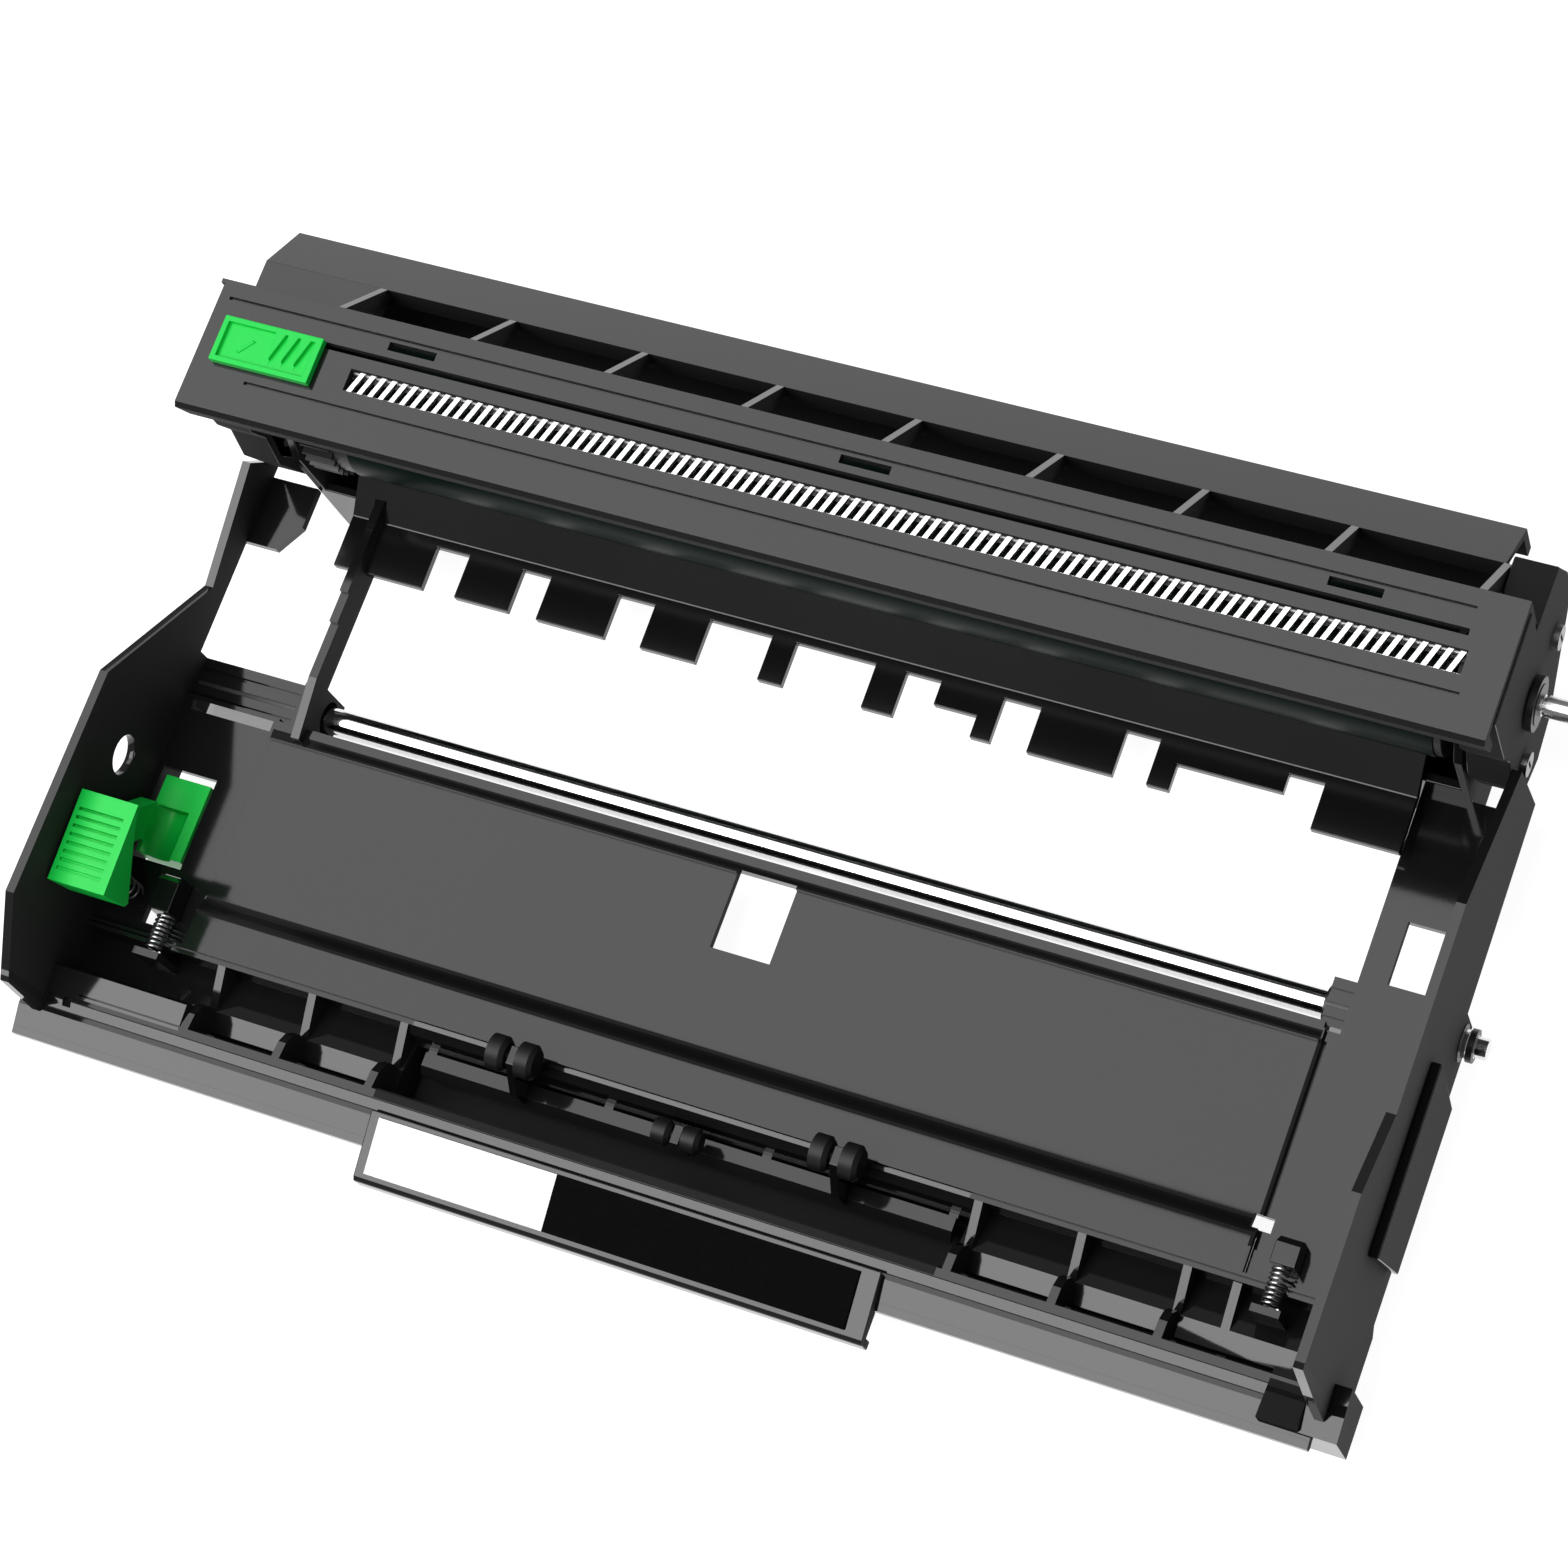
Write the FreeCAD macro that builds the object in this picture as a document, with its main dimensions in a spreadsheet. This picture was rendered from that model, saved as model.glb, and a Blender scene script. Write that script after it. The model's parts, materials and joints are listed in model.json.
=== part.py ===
import FreeCAD, Part
import os
import re

import Sketcher
from FreeCAD import Placement, Rotation, Vector

# A printer drum unit: an open tray that carries a toner cartridge, with the
# light-sensitive drum, its charger and the transfer roller in the rear housing.
# X runs across the unit, Y to the rear (drum side), Z up. Every size is a named
# cell of the sheet, measured from the middle plane, the rod gap and the underside;
# the last step moves all pieces so that the origin is under the middle of the unit.

doc = FreeCAD.newDocument("printer_drum_unit")
sheet = doc.addObject("Spreadsheet::Sheet", "Sizes")
names = set()
nodes = []

PLANES = {"XY": "XY_Plane", "XZ": "XZ_Plane", "YZ": "YZ_Plane"}
ALONG = {
    "x": Rotation(Vector(0, 1, 0), 90),
    "y": Rotation(Vector(1, 0, 0), -90),
    "z": Rotation(),
}


def value(alias, number, note):
    """Write one size as a row of the sheet and name its cell."""
    row = len(names) + 1
    sheet.set(f"A{row}", alias)
    sheet.set(f"B{row}", str(number))
    sheet.set(f"C{row}", note)
    sheet.setAlias(f"B{row}", alias)
    names.add(alias)
    return alias


def corner(name, across, up, note):
    """Two cells for one corner of an outline, given back as a pair of names."""
    return value(f"{name}_a", across, f"{note}, first"), value(f"{name}_b", up, f"{note}, second")


def bound(text):
    """The formula with each sheet name written in full."""
    return re.sub(r"[a-z][a-z_0-9]*", lambda m: f"Sizes.{m[0]}" if m[0] in names else m[0], str(text))


def profile(name, plane, start, length, corners):
    """A closed outline on an origin plane, padded along that plane's normal."""
    body = doc.addObject("PartDesign::Body", name)
    sketch = body.newObject("Sketcher::SketchObject", f"{name}_outline")
    origin_plane = [o for o in body.Origin.OriginFeatures if o.Role == PLANES[plane]][0]
    sketch.AttachmentSupport = [(origin_plane, "")]
    sketch.MapMode = "FlatFace"
    sign = "-" if plane == "XZ" else ""
    sketch.setExpression("AttachmentOffset.Base.z", bound(f"{sign}({start})"))
    count = len(corners)
    rough = [Rotation(Vector(0, 0, 1), 360 * i / count).multVec(Vector(10, 1, 0)) for i in range(count)]
    for i in range(count):
        sketch.addGeometry(Part.LineSegment(rough[i], rough[(i + 1) % count]), False)
    for i in range(count):
        sketch.addConstraint(Sketcher.Constraint("Coincident", i, 2, (i + 1) % count, 1))
    for i, pair in enumerate(corners):
        for kind, rough_value, formula in zip(("DistanceX", "DistanceY"), (rough[i].x, rough[i].y), pair):
            index = sketch.addConstraint(Sketcher.Constraint(kind, -1, 1, i, 1, rough_value))
            sketch.setExpression(f"Constraints[{index}]", bound(formula))
    pad = body.newObject("PartDesign::Pad", f"{name}_pad")
    pad.Profile = sketch
    pad.setExpression("Length", bound(length))
    return body


def box(name, xs, ys, zs):
    """A block between two named places along each axis."""
    solid = doc.addObject("Part::Box", name)
    for side, axis, (low, high) in zip(("Length", "Width", "Height"), "xyz", (xs, ys, zs)):
        solid.setExpression(side, bound(f"({high}) - ({low})"))
        solid.setExpression(f"Placement.Base.{axis}", bound(low))
    return solid


def cylinder(name, axis, span, centre, radius):
    """A round bar along one axis; centre gives its two other coordinates in X, Y, Z order."""
    solid = doc.addObject("Part::Cylinder", name)
    solid.Placement = Placement(Vector(), ALONG[axis])
    solid.setExpression("Radius", bound(radius))
    solid.setExpression("Height", bound(f"({span[1]}) - ({span[0]})"))
    places = dict(zip([a for a in "xyz" if a != axis], centre))
    places[axis] = span[0]
    for letter, formula in places.items():
        solid.setExpression(f"Placement.Base.{letter}", bound(formula))
    return solid


def fuse(name, parts):
    """One solid from several that touch or overlap."""
    joined = doc.addObject("Part::MultiFuse", name)
    joined.Shapes = parts
    joined.Refine = True
    return joined


def cut(name, base, tools):
    """The base with the tools taken out of it."""
    result = doc.addObject("Part::Cut", name)
    result.Base = base
    result.Tool = tools[0] if len(tools) == 1 else fuse(f"{name}_tools", tools)
    return result


def node(piece):
    """Keep a finished piece and move it into the shared frame."""
    piece.setExpression("Placement.Base.x", bound("shift_x"))
    piece.setExpression("Placement.Base.y", bound("shift_y"))
    nodes.append(piece)
    return piece


def pattern(body, base, direction, length, count):
    """Repeat a body's feature in a row and make the row the body's tip."""
    row = body.newObject("PartDesign::LinearPattern", f"{body.Name}_row")
    row.Originals = [base]
    row.Direction = (base.Profile[0], [direction])
    row.setExpression("Length", bound(length))
    row.Occurrences = count
    body.Tip = row
    return body


def coil(name, axis, start, length, radius, wire, turns):
    """An open coil spring along one axis from a start point."""
    helix = doc.addObject("Part::Helix", f"{name}_helix")
    helix.setExpression("Radius", bound(radius))
    helix.setExpression("Pitch", bound(f"({length}) / {turns}"))
    helix.setExpression("Height", bound(length))
    ring = doc.addObject("Part::Circle", f"{name}_ring")
    ring.setExpression("Radius", bound(wire))
    ring.setExpression("Placement.Base.x", bound(radius))
    ring.Placement.Rotation = Rotation(Vector(1, 0, 0), 90)
    sweep = doc.addObject("Part::Sweep", name)
    sweep.Sections = [ring]
    sweep.Spine = (helix, ["Edge1"])
    sweep.Solid = True
    sweep.Frenet = True
    sweep.Placement = Placement(Vector(), ALONG[axis])
    for letter, formula in zip("xyz", start):
        sweep.setExpression(f"Placement.Base.{letter}",
                            bound(f"({formula}) + shift_{letter}" if letter != "z" else formula))
    return sweep


def keep(piece, start):
    """Keep a single bar or coil whose own place is part of its shape."""
    for letter, formula in zip("xy", start):
        piece.setExpression(f"Placement.Base.{letter}", bound(f"({formula}) + shift_{letter}"))
    nodes.append(piece)
    return piece


def tube(name, span, centre, outer, inner):
    """A ring or sleeve along X with a round bore."""
    skin = cylinder(f"{name}_skin", "x", span, centre, outer)
    bore = cylinder(f"{name}_bore", "x", (f"({span[0]}) - 1", f"({span[1]}) + 1"), centre, inner)
    return node(cut(name, skin, [bore]))


def window(name, sides, ends, note):
    """An opening through floor or plate, each of its four edges a named cell."""
    edges = [value(f"{name}_{edge}", place, f"{note}, {edge} edge")
             for edge, place in zip(("left", "right", "front", "rear"), sides + ends)]
    return box(name, edges[:2], edges[2:], ("0", "floor_top + 3"))


def gear(name, start, width, axis_z, teeth, count, first_angle):
    """A spur gear about an X axis: a root disc and one trapezoid tooth, patterned round it."""
    body = doc.addObject("PartDesign::Body", name)
    plane = [o for o in body.Origin.OriginFeatures if o.Role == "YZ_Plane"][0]
    disc_sketch = body.newObject("Sketcher::SketchObject", f"{name}_root")
    disc_sketch.AttachmentSupport = [(plane, "")]
    disc_sketch.MapMode = "FlatFace"
    disc_sketch.addGeometry(Part.Circle(Vector(), Vector(0, 0, 1), 5), False)
    disc_sketch.addConstraint(Sketcher.Constraint("Coincident", 0, 3, -1, 1))
    index = disc_sketch.addConstraint(Sketcher.Constraint("Radius", 0, 5))
    disc_sketch.setExpression(f"Constraints[{index}]", bound(f"module_size * ({teeth} / 2 - 1.2)"))
    disc = body.newObject("PartDesign::Pad", f"{name}_disc")
    disc.Profile = disc_sketch
    disc.setExpression("Length", bound(width))
    tooth_sketch = body.newObject("Sketcher::SketchObject", f"{name}_flank")
    tooth_sketch.AttachmentSupport = [(plane, "")]
    tooth_sketch.MapMode = "FlatFace"
    root = f"module_size * ({teeth} / 2 - 1.5)"
    tip = f"module_size * ({teeth} / 2 + 0.8)"
    outline = [
        (root, "-module_size * tooth_root"),
        (tip, "-module_size * tooth_tip"),
        (tip, "module_size * tooth_tip"),
        (root, "module_size * tooth_root"),
    ]
    rough = [Vector(4, -1, 0), Vector(8, -1, 0), Vector(8, 1, 0), Vector(4, 1, 0)]
    for i in range(4):
        tooth_sketch.addGeometry(Part.LineSegment(rough[i], rough[(i + 1) % 4]), False)
    for i in range(4):
        tooth_sketch.addConstraint(Sketcher.Constraint("Coincident", i, 2, (i + 1) % 4, 1))
    for i, (radial, across) in enumerate(outline):
        for kind, start_value, formula in (("DistanceX", rough[i].x, radial),
                                           ("DistanceY", rough[i].y, across)):
            index = tooth_sketch.addConstraint(Sketcher.Constraint(kind, -1, 1, i, 1, start_value))
            tooth_sketch.setExpression(f"Constraints[{index}]", bound(formula))
    tooth = body.newObject("PartDesign::Pad", f"{name}_tooth")
    tooth.Profile = tooth_sketch
    tooth.setExpression("Length", bound(width))
    ring = body.newObject("PartDesign::PolarPattern", f"{name}_ring")
    ring.Originals = [tooth]
    ring.Axis = (disc_sketch, ["N_Axis"])
    ring.Angle = 360
    ring.Occurrences = count
    body.Tip = ring
    body.Placement = Placement(Vector(), Rotation(Vector(1, 0, 0), first_angle))
    body.setExpression("Placement.Base.x", bound(start))
    body.setExpression("Placement.Base.y", bound("drum_y"))
    body.setExpression("Placement.Base.z", bound(axis_z))
    return body


# Places that several pieces share
value("wall_out", 145, "outer face of each side wall from the middle plane")
value("sheet_thick", 2, "wall thickness of the mouldings")
value("wall_in", "=wall_out - sheet_thick", "inner face of each side wall from the middle plane")
value("floor_top", 15, "top of the tray floor above the underside")
value("plate_top", 14.4, "top of the side plates, a step below the floor")
value("drum_y", 65, "drum axis, to the rear")
value("drum_z", 42, "drum axis, height")
value("drum_radius", 15, "outer radius of the drum tube")
value("roller_z", 19.7, "transfer roller axis, height")
value("roller_radius", 7, "outer radius of the transfer roller")
value("rod_y", 4.3, "pinch rod axis, to the rear")
value("rod_z", 8, "pinch rod axis, height")
value("rod_radius", 3, "radius of the pinch rod")
value("shaft_radius", 2.25, "radius of the drum shaft")
value("shaft_end", "=wall_out + 10", "free end of the drum shaft")
value("run_gap", 0.05, "radial clearance of a turning fit")
value("seat_gap", 0.3, "clearance round a piece that is set into another")
value("handle_front", -91, "front edge of the handle")
value("cover_rear", "=drum_y + 32.6", "rear wall of the drum cover")
value("beam_end", "=wall_out + 3.5", "ends of the front beam from the middle plane")
value("shift_x", "=(beam_end - shaft_end) / 2", "brings the whole unit's middle to the origin")
value("shift_y", "=-(handle_front + cover_rear) / 2", "brings the whole unit's middle to the origin")

drum_axis = ("drum_y", "drum_z")
roller_axis = ("drum_y", "roller_z")
rod_axis = ("rod_y", "rod_z")

# Tray: side walls
beam_foot = corner("beam_foot", -79, 0, "front foot of the beam")
left_wall = profile("left_wall", "YZ", "-wall_out", "wall_out - wall_in", [
    beam_foot,
    corner("left_front", -76.6, 38, "front corner of the left wall"),
    corner("left_top_front", -60.4, 50.6, "top of the left wall, front end"),
    corner("left_top_rear", -9.4, 50.3, "top of the left wall, rear end"),
    corner("left_dip", 22.2, 22.5, "foot of the left wall's slope"),
    corner("left_rear_top", "=drum_y - 15", 28.6, "rear end of the left wall, top"),
    corner("left_rear_low", "=drum_y - 9", 16.2, "rear end of the left wall, bottom"),
    corner("left_step_rear", 9.2, 16.2, "bottom edge over the side opening"),
    corner("left_step_low", 9.2, 3, "bottom edge beside the rod housing"),
    corner("left_foot_rear", -54, 3, "bottom edge behind the beam"),
    corner("left_foot_front", -56, 0, "rear foot of the beam at the wall"),
])
right_wall = profile("right_wall", "YZ", "wall_in", "wall_out - wall_in", [
    beam_foot,
    corner("right_front", -77, 40, "front edge of the right wall"),
    corner("right_top_front", -75.5, 58, "top of the right wall, front end"),
    corner("right_peak", -41, 58, "rear end of the high part"),
    corner("right_top", -23, 50, "foot of the high part"),
    corner("right_slope", 20, 50, "rear end of the level part"),
    corner("right_rear_top", "=drum_y - 13", 38.5, "rear end of the right wall, top"),
    corner("right_rear_low", "=drum_y - 11", 14, "rear end of the right wall, bottom"),
    corner("right_step", 9.2, 12.4, "bottom edge behind the rod housing"),
    corner("right_step_low", 9.2, 3, "bottom edge beside the rod housing"),
    corner("right_foot_rear", -54, 3, "bottom edge behind the beam"),
    corner("right_foot_front", -56, 0, "rear foot of the beam at the wall"),
])
value("hole_y", -21, "round hole in the left wall, to the rear")
value("hole_z", 30, "round hole in the left wall, height")
value("hole_radius", 4.5, "radius of the round hole")
wall_hole = cylinder("wall_hole", "x", ("-wall_out - 1", "-wall_in + 1"), ("hole_y", "hole_z"), "hole_radius")

# Tray: floor with a crease, side plates and their windows
value("floor_half", "=wall_in - 23.2", "half width of the raised floor")
value("crease_y", -42.2, "rear foot of the step where the floor rises to the beam")
value("crease_long", 4.4, "depth of that step")
value("floor_rear", -5.2, "rear edge of the flat floor")
value("lip_rear", -1, "rear edge of the raised lip")
value("lip_rise", 1, "height of the lip over the floor")
value("beam_rear", -54.5, "rear edge of the front beam")
value("beam_rise", 1.5, "height of the floor's front edge over its flat part")
step_curve = [(1, 1), (0.82, 0.93), (0.66, 0.78), (0.34, 0.22), (0.18, 0.07), (0, 0)]
floor = profile("floor", "YZ", "-floor_half", "2 * floor_half", [
    ("beam_rear", "floor_top + beam_rise"),
    ("beam_rear", "floor_top + beam_rise - sheet_thick"),
    ("crease_y - crease_long", "floor_top + beam_rise - sheet_thick"),
    ("crease_y", "floor_top - sheet_thick"),
    ("lip_rear - sheet_thick", "floor_top - sheet_thick"),
    ("lip_rear - sheet_thick", "plate_top - 4"),
    ("lip_rear", "plate_top - 4"),
    ("lip_rear", "floor_top + lip_rise"),
    ("floor_rear", "floor_top + lip_rise"),
    ("floor_rear", "floor_top"),
] + [(f"crease_y - {along} * crease_long", f"floor_top + {rise} * beam_rise") for along,
     rise in reversed(step_curve)])
value("window_left", -7.9, "floor window, left side")
value("window_right", 5.7, "floor window, right side")
value("window_front", -21.7, "floor window, front side")
floor_window = box("floor_window", ("window_left", "window_right"), ("window_front", "floor_rear + 0.8"),
                   ("0", "floor_top + 3"))

value("housing_front", -1, "front face of the rod housings")
value("housing_rear", 9.2, "rear face of the rod housings")
value("housing_low", 3, "underside of the rod housings")
value("housing_high", 12.4, "top of the rod housings")
value("housing_left", "=-wall_in + 27", "inner end of the left rod housing")
value("housing_right", "=wall_in - 25.5", "inner end of the right rod housing")
value("plate_slit", 2.4, "width of the slit in front of the left rod housing")
left_plate = box("left_plate", ("-wall_in", "-floor_half"), ("beam_rear", "housing_front + 1"),
                 ("plate_top - sheet_thick", "plate_top"))
right_plate = box("right_plate", ("floor_half", "wall_in"), ("beam_rear", "housing_front"),
                  ("plate_top - sheet_thick", "plate_top"))
value("arm_left", "=wall_in - 20.4", "inner edge of the plate beside the rod opening")
value("trough_front", "=drum_y - 14", "front wall of the rear trough")
right_arm = box("right_arm", ("arm_left", "wall_in"), ("housing_front", "trough_front"),
                ("plate_top - sheet_thick", "plate_top"))
housing_a = box("housing_a", ("-wall_in", "housing_left"), ("housing_front", "housing_rear"),
                ("housing_low", "housing_high"))
housing_b = box("housing_b", ("housing_right", "wall_in"), ("housing_front", "housing_rear"),
                ("housing_low", "housing_high"))
value("bush_radius", 4, "outer radius of the rod bushes")
housing_bore = cylinder("housing_bore", "x", ("-wall_out - 1", "wall_out + 1"), ("rod_y", "rod_z"),
                        "bush_radius")
value("flute_pitch", 3, "spacing of the grooves along the rod housings")
flutes = []
for side, span in (("left", ("-wall_in", "housing_left + 1")), ("right", ("housing_right - 1", "wall_in"))):
    for i in range(3):
        place = f"housing_front + 1 + flute_pitch * {i}"
        flutes.append(box(f"flute_{side}_{i}", span, (place, f"{place} + 1"),
                          ("housing_high - 0.7", "housing_high + 1")))

windows = [
    window("plate_slot", ("=-wall_in + 2", "=-floor_half - 1.2"), ("=housing_front - plate_slit", "=housing_front"),
           "slot in front of the left rod housing"),
    window("latch_window", ("=-wall_in + 1.5", "=-wall_in + 14.8"), (-38.3, -17.2), "window under the latch"),
    window("hook_window", ("=-wall_in + 11", "=-wall_in + 13.4"), (-51.6, -40.1), "hooked window"),
    window("hook_top", ("=-wall_in + 13", "=-wall_in + 15.7"), (-41.8, -40.1),
           "rear arm of the hooked window"),
    window("hook_foot", ("=-wall_in + 13", "=-wall_in + 15"), (-51.6, -48.6),
           "front arm of the hooked window"),
    window("square_rear", ("=floor_half - 0.4", "=floor_half + 2.8"), (-2.4, -1),
           "small window at the right, rear"),
    window("square_front", ("=floor_half - 1.7", "=floor_half + 2.4"), (-44.8, -41.8),
           "small window at the right, front"),
    window("arm_window", ("=wall_in - 14.6", "=wall_in - 6"), (9.9, 23.5),
           "window behind the right rod housing"),
]

# Tray: thin web from the left rod housing to the rear trough, with two steps
value("web_x", "=-wall_in + 30", "middle of the web")
value("web_top", 22, "top of the web")
web = profile("web", "YZ", "web_x - 1", "2", [
    ("floor_rear + 1", "floor_top - 1"),
    ("floor_rear + 1", "web_top - 4"),
    ("housing_rear", "web_top - 1"),
    corner("web_step_low", 22, 21, "first step of the web"),
    ("web_step_low_a", "web_top"),
    corner("web_step_high", 29, 22, "second step of the web"),
    ("web_step_high_a", "web_top + 1"),
    ("trough_front", "web_top + 1"),
    ("trough_front", "floor_top - 1"),
])
web_foot = box("web_foot", ("web_x - 4", "web_x + 1"), ("floor_rear + 1", "housing_rear"),
               ("housing_low", "floor_top"))

# Tray: gusset in the left rear corner
gusset = profile("gusset", "XY", "plate_top", "sheet_thick", [
    ("-wall_in - 1", "drum_y - 28.9"),
    corner("gusset_front", "=-wall_in + 7.5", "=drum_y - 28.9", "front edge of the gusset"),
    corner("gusset_side", "=-wall_in + 11.4", "=drum_y - 22.5", "inner edge of the gusset"),
    ("gusset_side_a", "trough_front + 1"),
    ("-wall_in - 1", "trough_front + 1"),
])

# Tray: front beam, an open channel with cross ribs and a sloping front
value("lip_front", -73.9, "front edge of the beam's lip")
value("lip_back", -72.1, "rear edge of the beam's lip")
value("beam_high", 22, "height of the beam's lip")
value("bay_floor", 9, "floor of the beam's bays at the rear")
value("bay_under", 7, "underside of the bays")
value("ridge_y", -65.1, "ridge along the bays")
value("ridge_z", 12.5, "height of that ridge")
value("seam_width", 0.4, "width of the seam behind the beam")
beam_slot = corner("beam_slot", -70.6, 9, "slot between lip and ridge")
apron_edge = corner("apron_edge", -83.5, 18.4, "front edge of the sloping apron")
apron_top = corner("apron_top", -77.3, 20.6, "top of the sloping apron")
apron_step = corner("apron_step", -76.2, 20.6, "foot of the bevel under the lip")
beam = profile("beam", "YZ", "-wall_in", "2 * wall_in", [
    beam_foot,
    ("beam_foot_a", "apron_edge_b - 1.2"),
    ("apron_edge_a + 0.9", "apron_edge_b - 2.7"),
    ("apron_edge_a", "apron_edge_b - 2"),
    apron_edge, apron_top, apron_step,
    ("lip_front", "beam_high"),
    ("lip_back", "beam_high"),
    ("lip_back + 0.5", "beam_high - 0.8"),
    beam_slot,
    corner("ridge_front", -69.4, 11.7, "front foot of the ridge"),
    ("ridge_y", "ridge_z"),
    ("beam_rear - 1.5", "bay_floor"),
    ("beam_rear - 1.5", "floor_top + beam_rise"),
    ("beam_rear - 0.6", "floor_top + beam_rise"),
    ("beam_rear - 0.6", "floor_top"),
    ("beam_rear - 0.6 + seam_width", "floor_top"),
    ("beam_rear - 0.6 + seam_width", "floor_top + beam_rise"),
    ("beam_rear + 0.5", "floor_top + beam_rise"),
    ("beam_rear + 0.5", "0"),
    ("beam_rear - 1.5", "0"),
    ("beam_rear - 1.5", "bay_under"),
    ("ridge_y", "ridge_z - sheet_thick"),
    ("ridge_front_a", "ridge_front_b - sheet_thick"),
    ("beam_slot_a - 1.6", "bay_under"),
    ("lip_front + 0.7", "beam_high - sheet_thick"),
    ("apron_top_a + 0.3", "apron_top_b - sheet_thick"),
    ("beam_foot_a + 2", "0"),
])
apron_ends = profile("apron_left", "YZ", "-beam_end", "beam_end - wall_in + 1", [
    ("apron_edge_a", "apron_edge_b - 2"),
    apron_edge, apron_top, apron_step,
    ("lip_front", "beam_high"),
    ("lip_front + 0.5", "beam_high - sheet_thick"),
    ("apron_top_a + 0.3", "apron_top_b - sheet_thick"),
])
value("shoulder_end", "=-wall_in + 32.7", "inner end of the raised left shoulder of the beam")
shoulder = profile("shoulder", "YZ", "-wall_in", "shoulder_end + wall_in", [
    ("lip_back + 2", "bay_floor"),
    ("lip_back + 2", "beam_high - 0.9"),
    ("lip_front", "beam_high - 0.1"),
    corner("shoulder_edge", -67.3, 22.6, "rear edge of the shoulder, top"),
    corner("shoulder_round", -66.5, 21, "rear edge of the shoulder, rounded off"),
    ("shoulder_round_a", "bay_floor"),
])
shoulder_line = box("shoulder_line", ("-wall_in + 8", "shoulder_end + 1"), ("lip_back - 0.2", "lip_back + 0.2"),
                    ("beam_high - 0.8", "beam_high + 2"))
value("tooth_pitch", 4.1, "spacing of the small notches at the beam's left end")
shoulder_teeth = []
for i in range(3):
    place = f"-wall_out - 1.5 + tooth_pitch * {i}"
    shoulder_teeth.append(box(f"shoulder_tooth_{i}", (place, f"{place} + tooth_pitch / 2"),
                              ("lip_front - 1.3", "lip_front + 0.6"), ("beam_high - 1.1", "beam_high + 1")))
value("bay_pitch", 22.1, "spacing of the cross ribs")
value("bay_inner", 65, "first cross rib from the middle")
value("rib_thick", 1.8, "thickness of a cross rib")
beam_ribs = []
for side in (-1, 1):
    for i in range(3):
        place = f"{side} * (bay_inner + bay_pitch * {i})"
        beam_ribs.append(profile(f"beam_rib_{side + 1}_{i}", "YZ", f"{place} - rib_thick / 2", "rib_thick", [
            ("beam_rear - 1.4", "bay_floor - 1"),
            ("lip_back", "bay_floor - 1"),
            ("lip_back", "beam_high"),
            ("ridge_y - 3.4", "beam_high - 0.6"),
            ("ridge_y - 1.2", "beam_high - 2.4"),
            ("ridge_y", "beam_high - 5.5"),
            ("ridge_y", "ridge_z"),
            ("beam_rear - 1.4", "floor_top + beam_rise"),
        ]))
beam_ribs.append(profile("beam_rib_end", "YZ", "floor_half - 1.4", "rib_thick", [
    ("beam_rear - 1.4", "bay_floor - 1"),
    ("ridge_y", "bay_floor - 1"),
    ("ridge_y", "ridge_z"),
    ("beam_rear - 1.4", "floor_top"),
]))

# Tray: middle trough of the beam, left open below the rollers, and its cross bar
value("trough_half", 63, "half length of the middle trough")
value("trough_floor", 2, "floor of the middle trough")
middle_cut = box("middle_cut", ("-trough_half", "trough_half"), ("beam_slot_a + 0.5", "beam_rear - 4.2"),
                 ("trough_floor", "beam_high + 2"))
middle_box = profile("middle_box", "YZ", "-trough_half - sheet_thick", "2 * (trough_half + sheet_thick)", [
    ("beam_rear - 1", "0"),
    ("beam_slot_a - 1.6", "0"),
    ("beam_slot_a - 1.6", "bay_under"),
    ("beam_slot_a", "beam_slot_b"),
    ("beam_slot_a + 0.6", "beam_slot_b"),
    ("beam_slot_a + 0.6", "ridge_z - 1"),
    ("ridge_y", "ridge_z - 1"),
    ("beam_rear - 1", "bay_floor - 1"),
])
middle_strip = profile("middle_strip", "YZ", "-trough_half - 1", "2 * trough_half + 2", [
    ("beam_rear - 1", "floor_top + beam_rise"),
    ("beam_rear - 1", "bay_floor - 1"),
    corner("strip_low", -58.5, 8, "front foot of the bevel strip"),
    corner("strip_high", -57.6, 14.4, "front edge of the bevel strip"),
])
value("bar_rear", -59.6, "rear edge of the cross bar")
value("bar_front", -64.4, "front edge of the cross bar")
value("bar_crease", -62.6, "crease where the cross bar slopes down")
value("bar_half", "=trough_half - 2.7", "half length of the cross bar")
value("bar_top", 11, "top of the cross bar")
cross_bar = profile("cross_bar", "YZ", "-bar_half", "2 * bar_half", [
    ("bar_rear", "bar_top"),
    ("bar_rear", "bar_top - 3"),
    ("bar_front", "bar_top - 3"),
    ("bar_front", "bar_top - 1.8"),
    ("bar_crease", "bar_top"),
])
bar_ends = [box(f"bar_end_{i}", (x, f"{x} + 2"), ("bar_front + 1.5", "beam_rear - 2"), ("bar_top - 3", "bar_top - 1"))
            for i, x in enumerate(("-bar_half", "-19", "17", "bar_half - 2"))]

# Tray: corner block outside the right front corner
value("block_left", "=wall_in - 10.4", "left side of the corner block")
value("block_middle", "=wall_in - 2.4", "step of the corner block")
block_front = corner("block_front", -81.2, 24, "front upper edge of the corner block")
block_rear = corner("block_rear", -70.4, 21.4, "rear upper edge of the corner block")
corner_block = fuse("corner_block", [
    profile("block_inner", "YZ", "block_left", "block_middle - block_left + 0.1", [
        block_front, block_rear, ("block_rear_a", "6"), ("block_front_a", "6"),
    ]),
    profile("block_outer", "YZ", "block_middle", "beam_end - block_middle", [
        ("block_front_a", "block_front_b - 3"),
        ("block_rear_a", "block_front_b - 1"),
        ("block_rear_a", "6"),
        ("block_front_a", "6"),
    ]),
])

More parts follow.
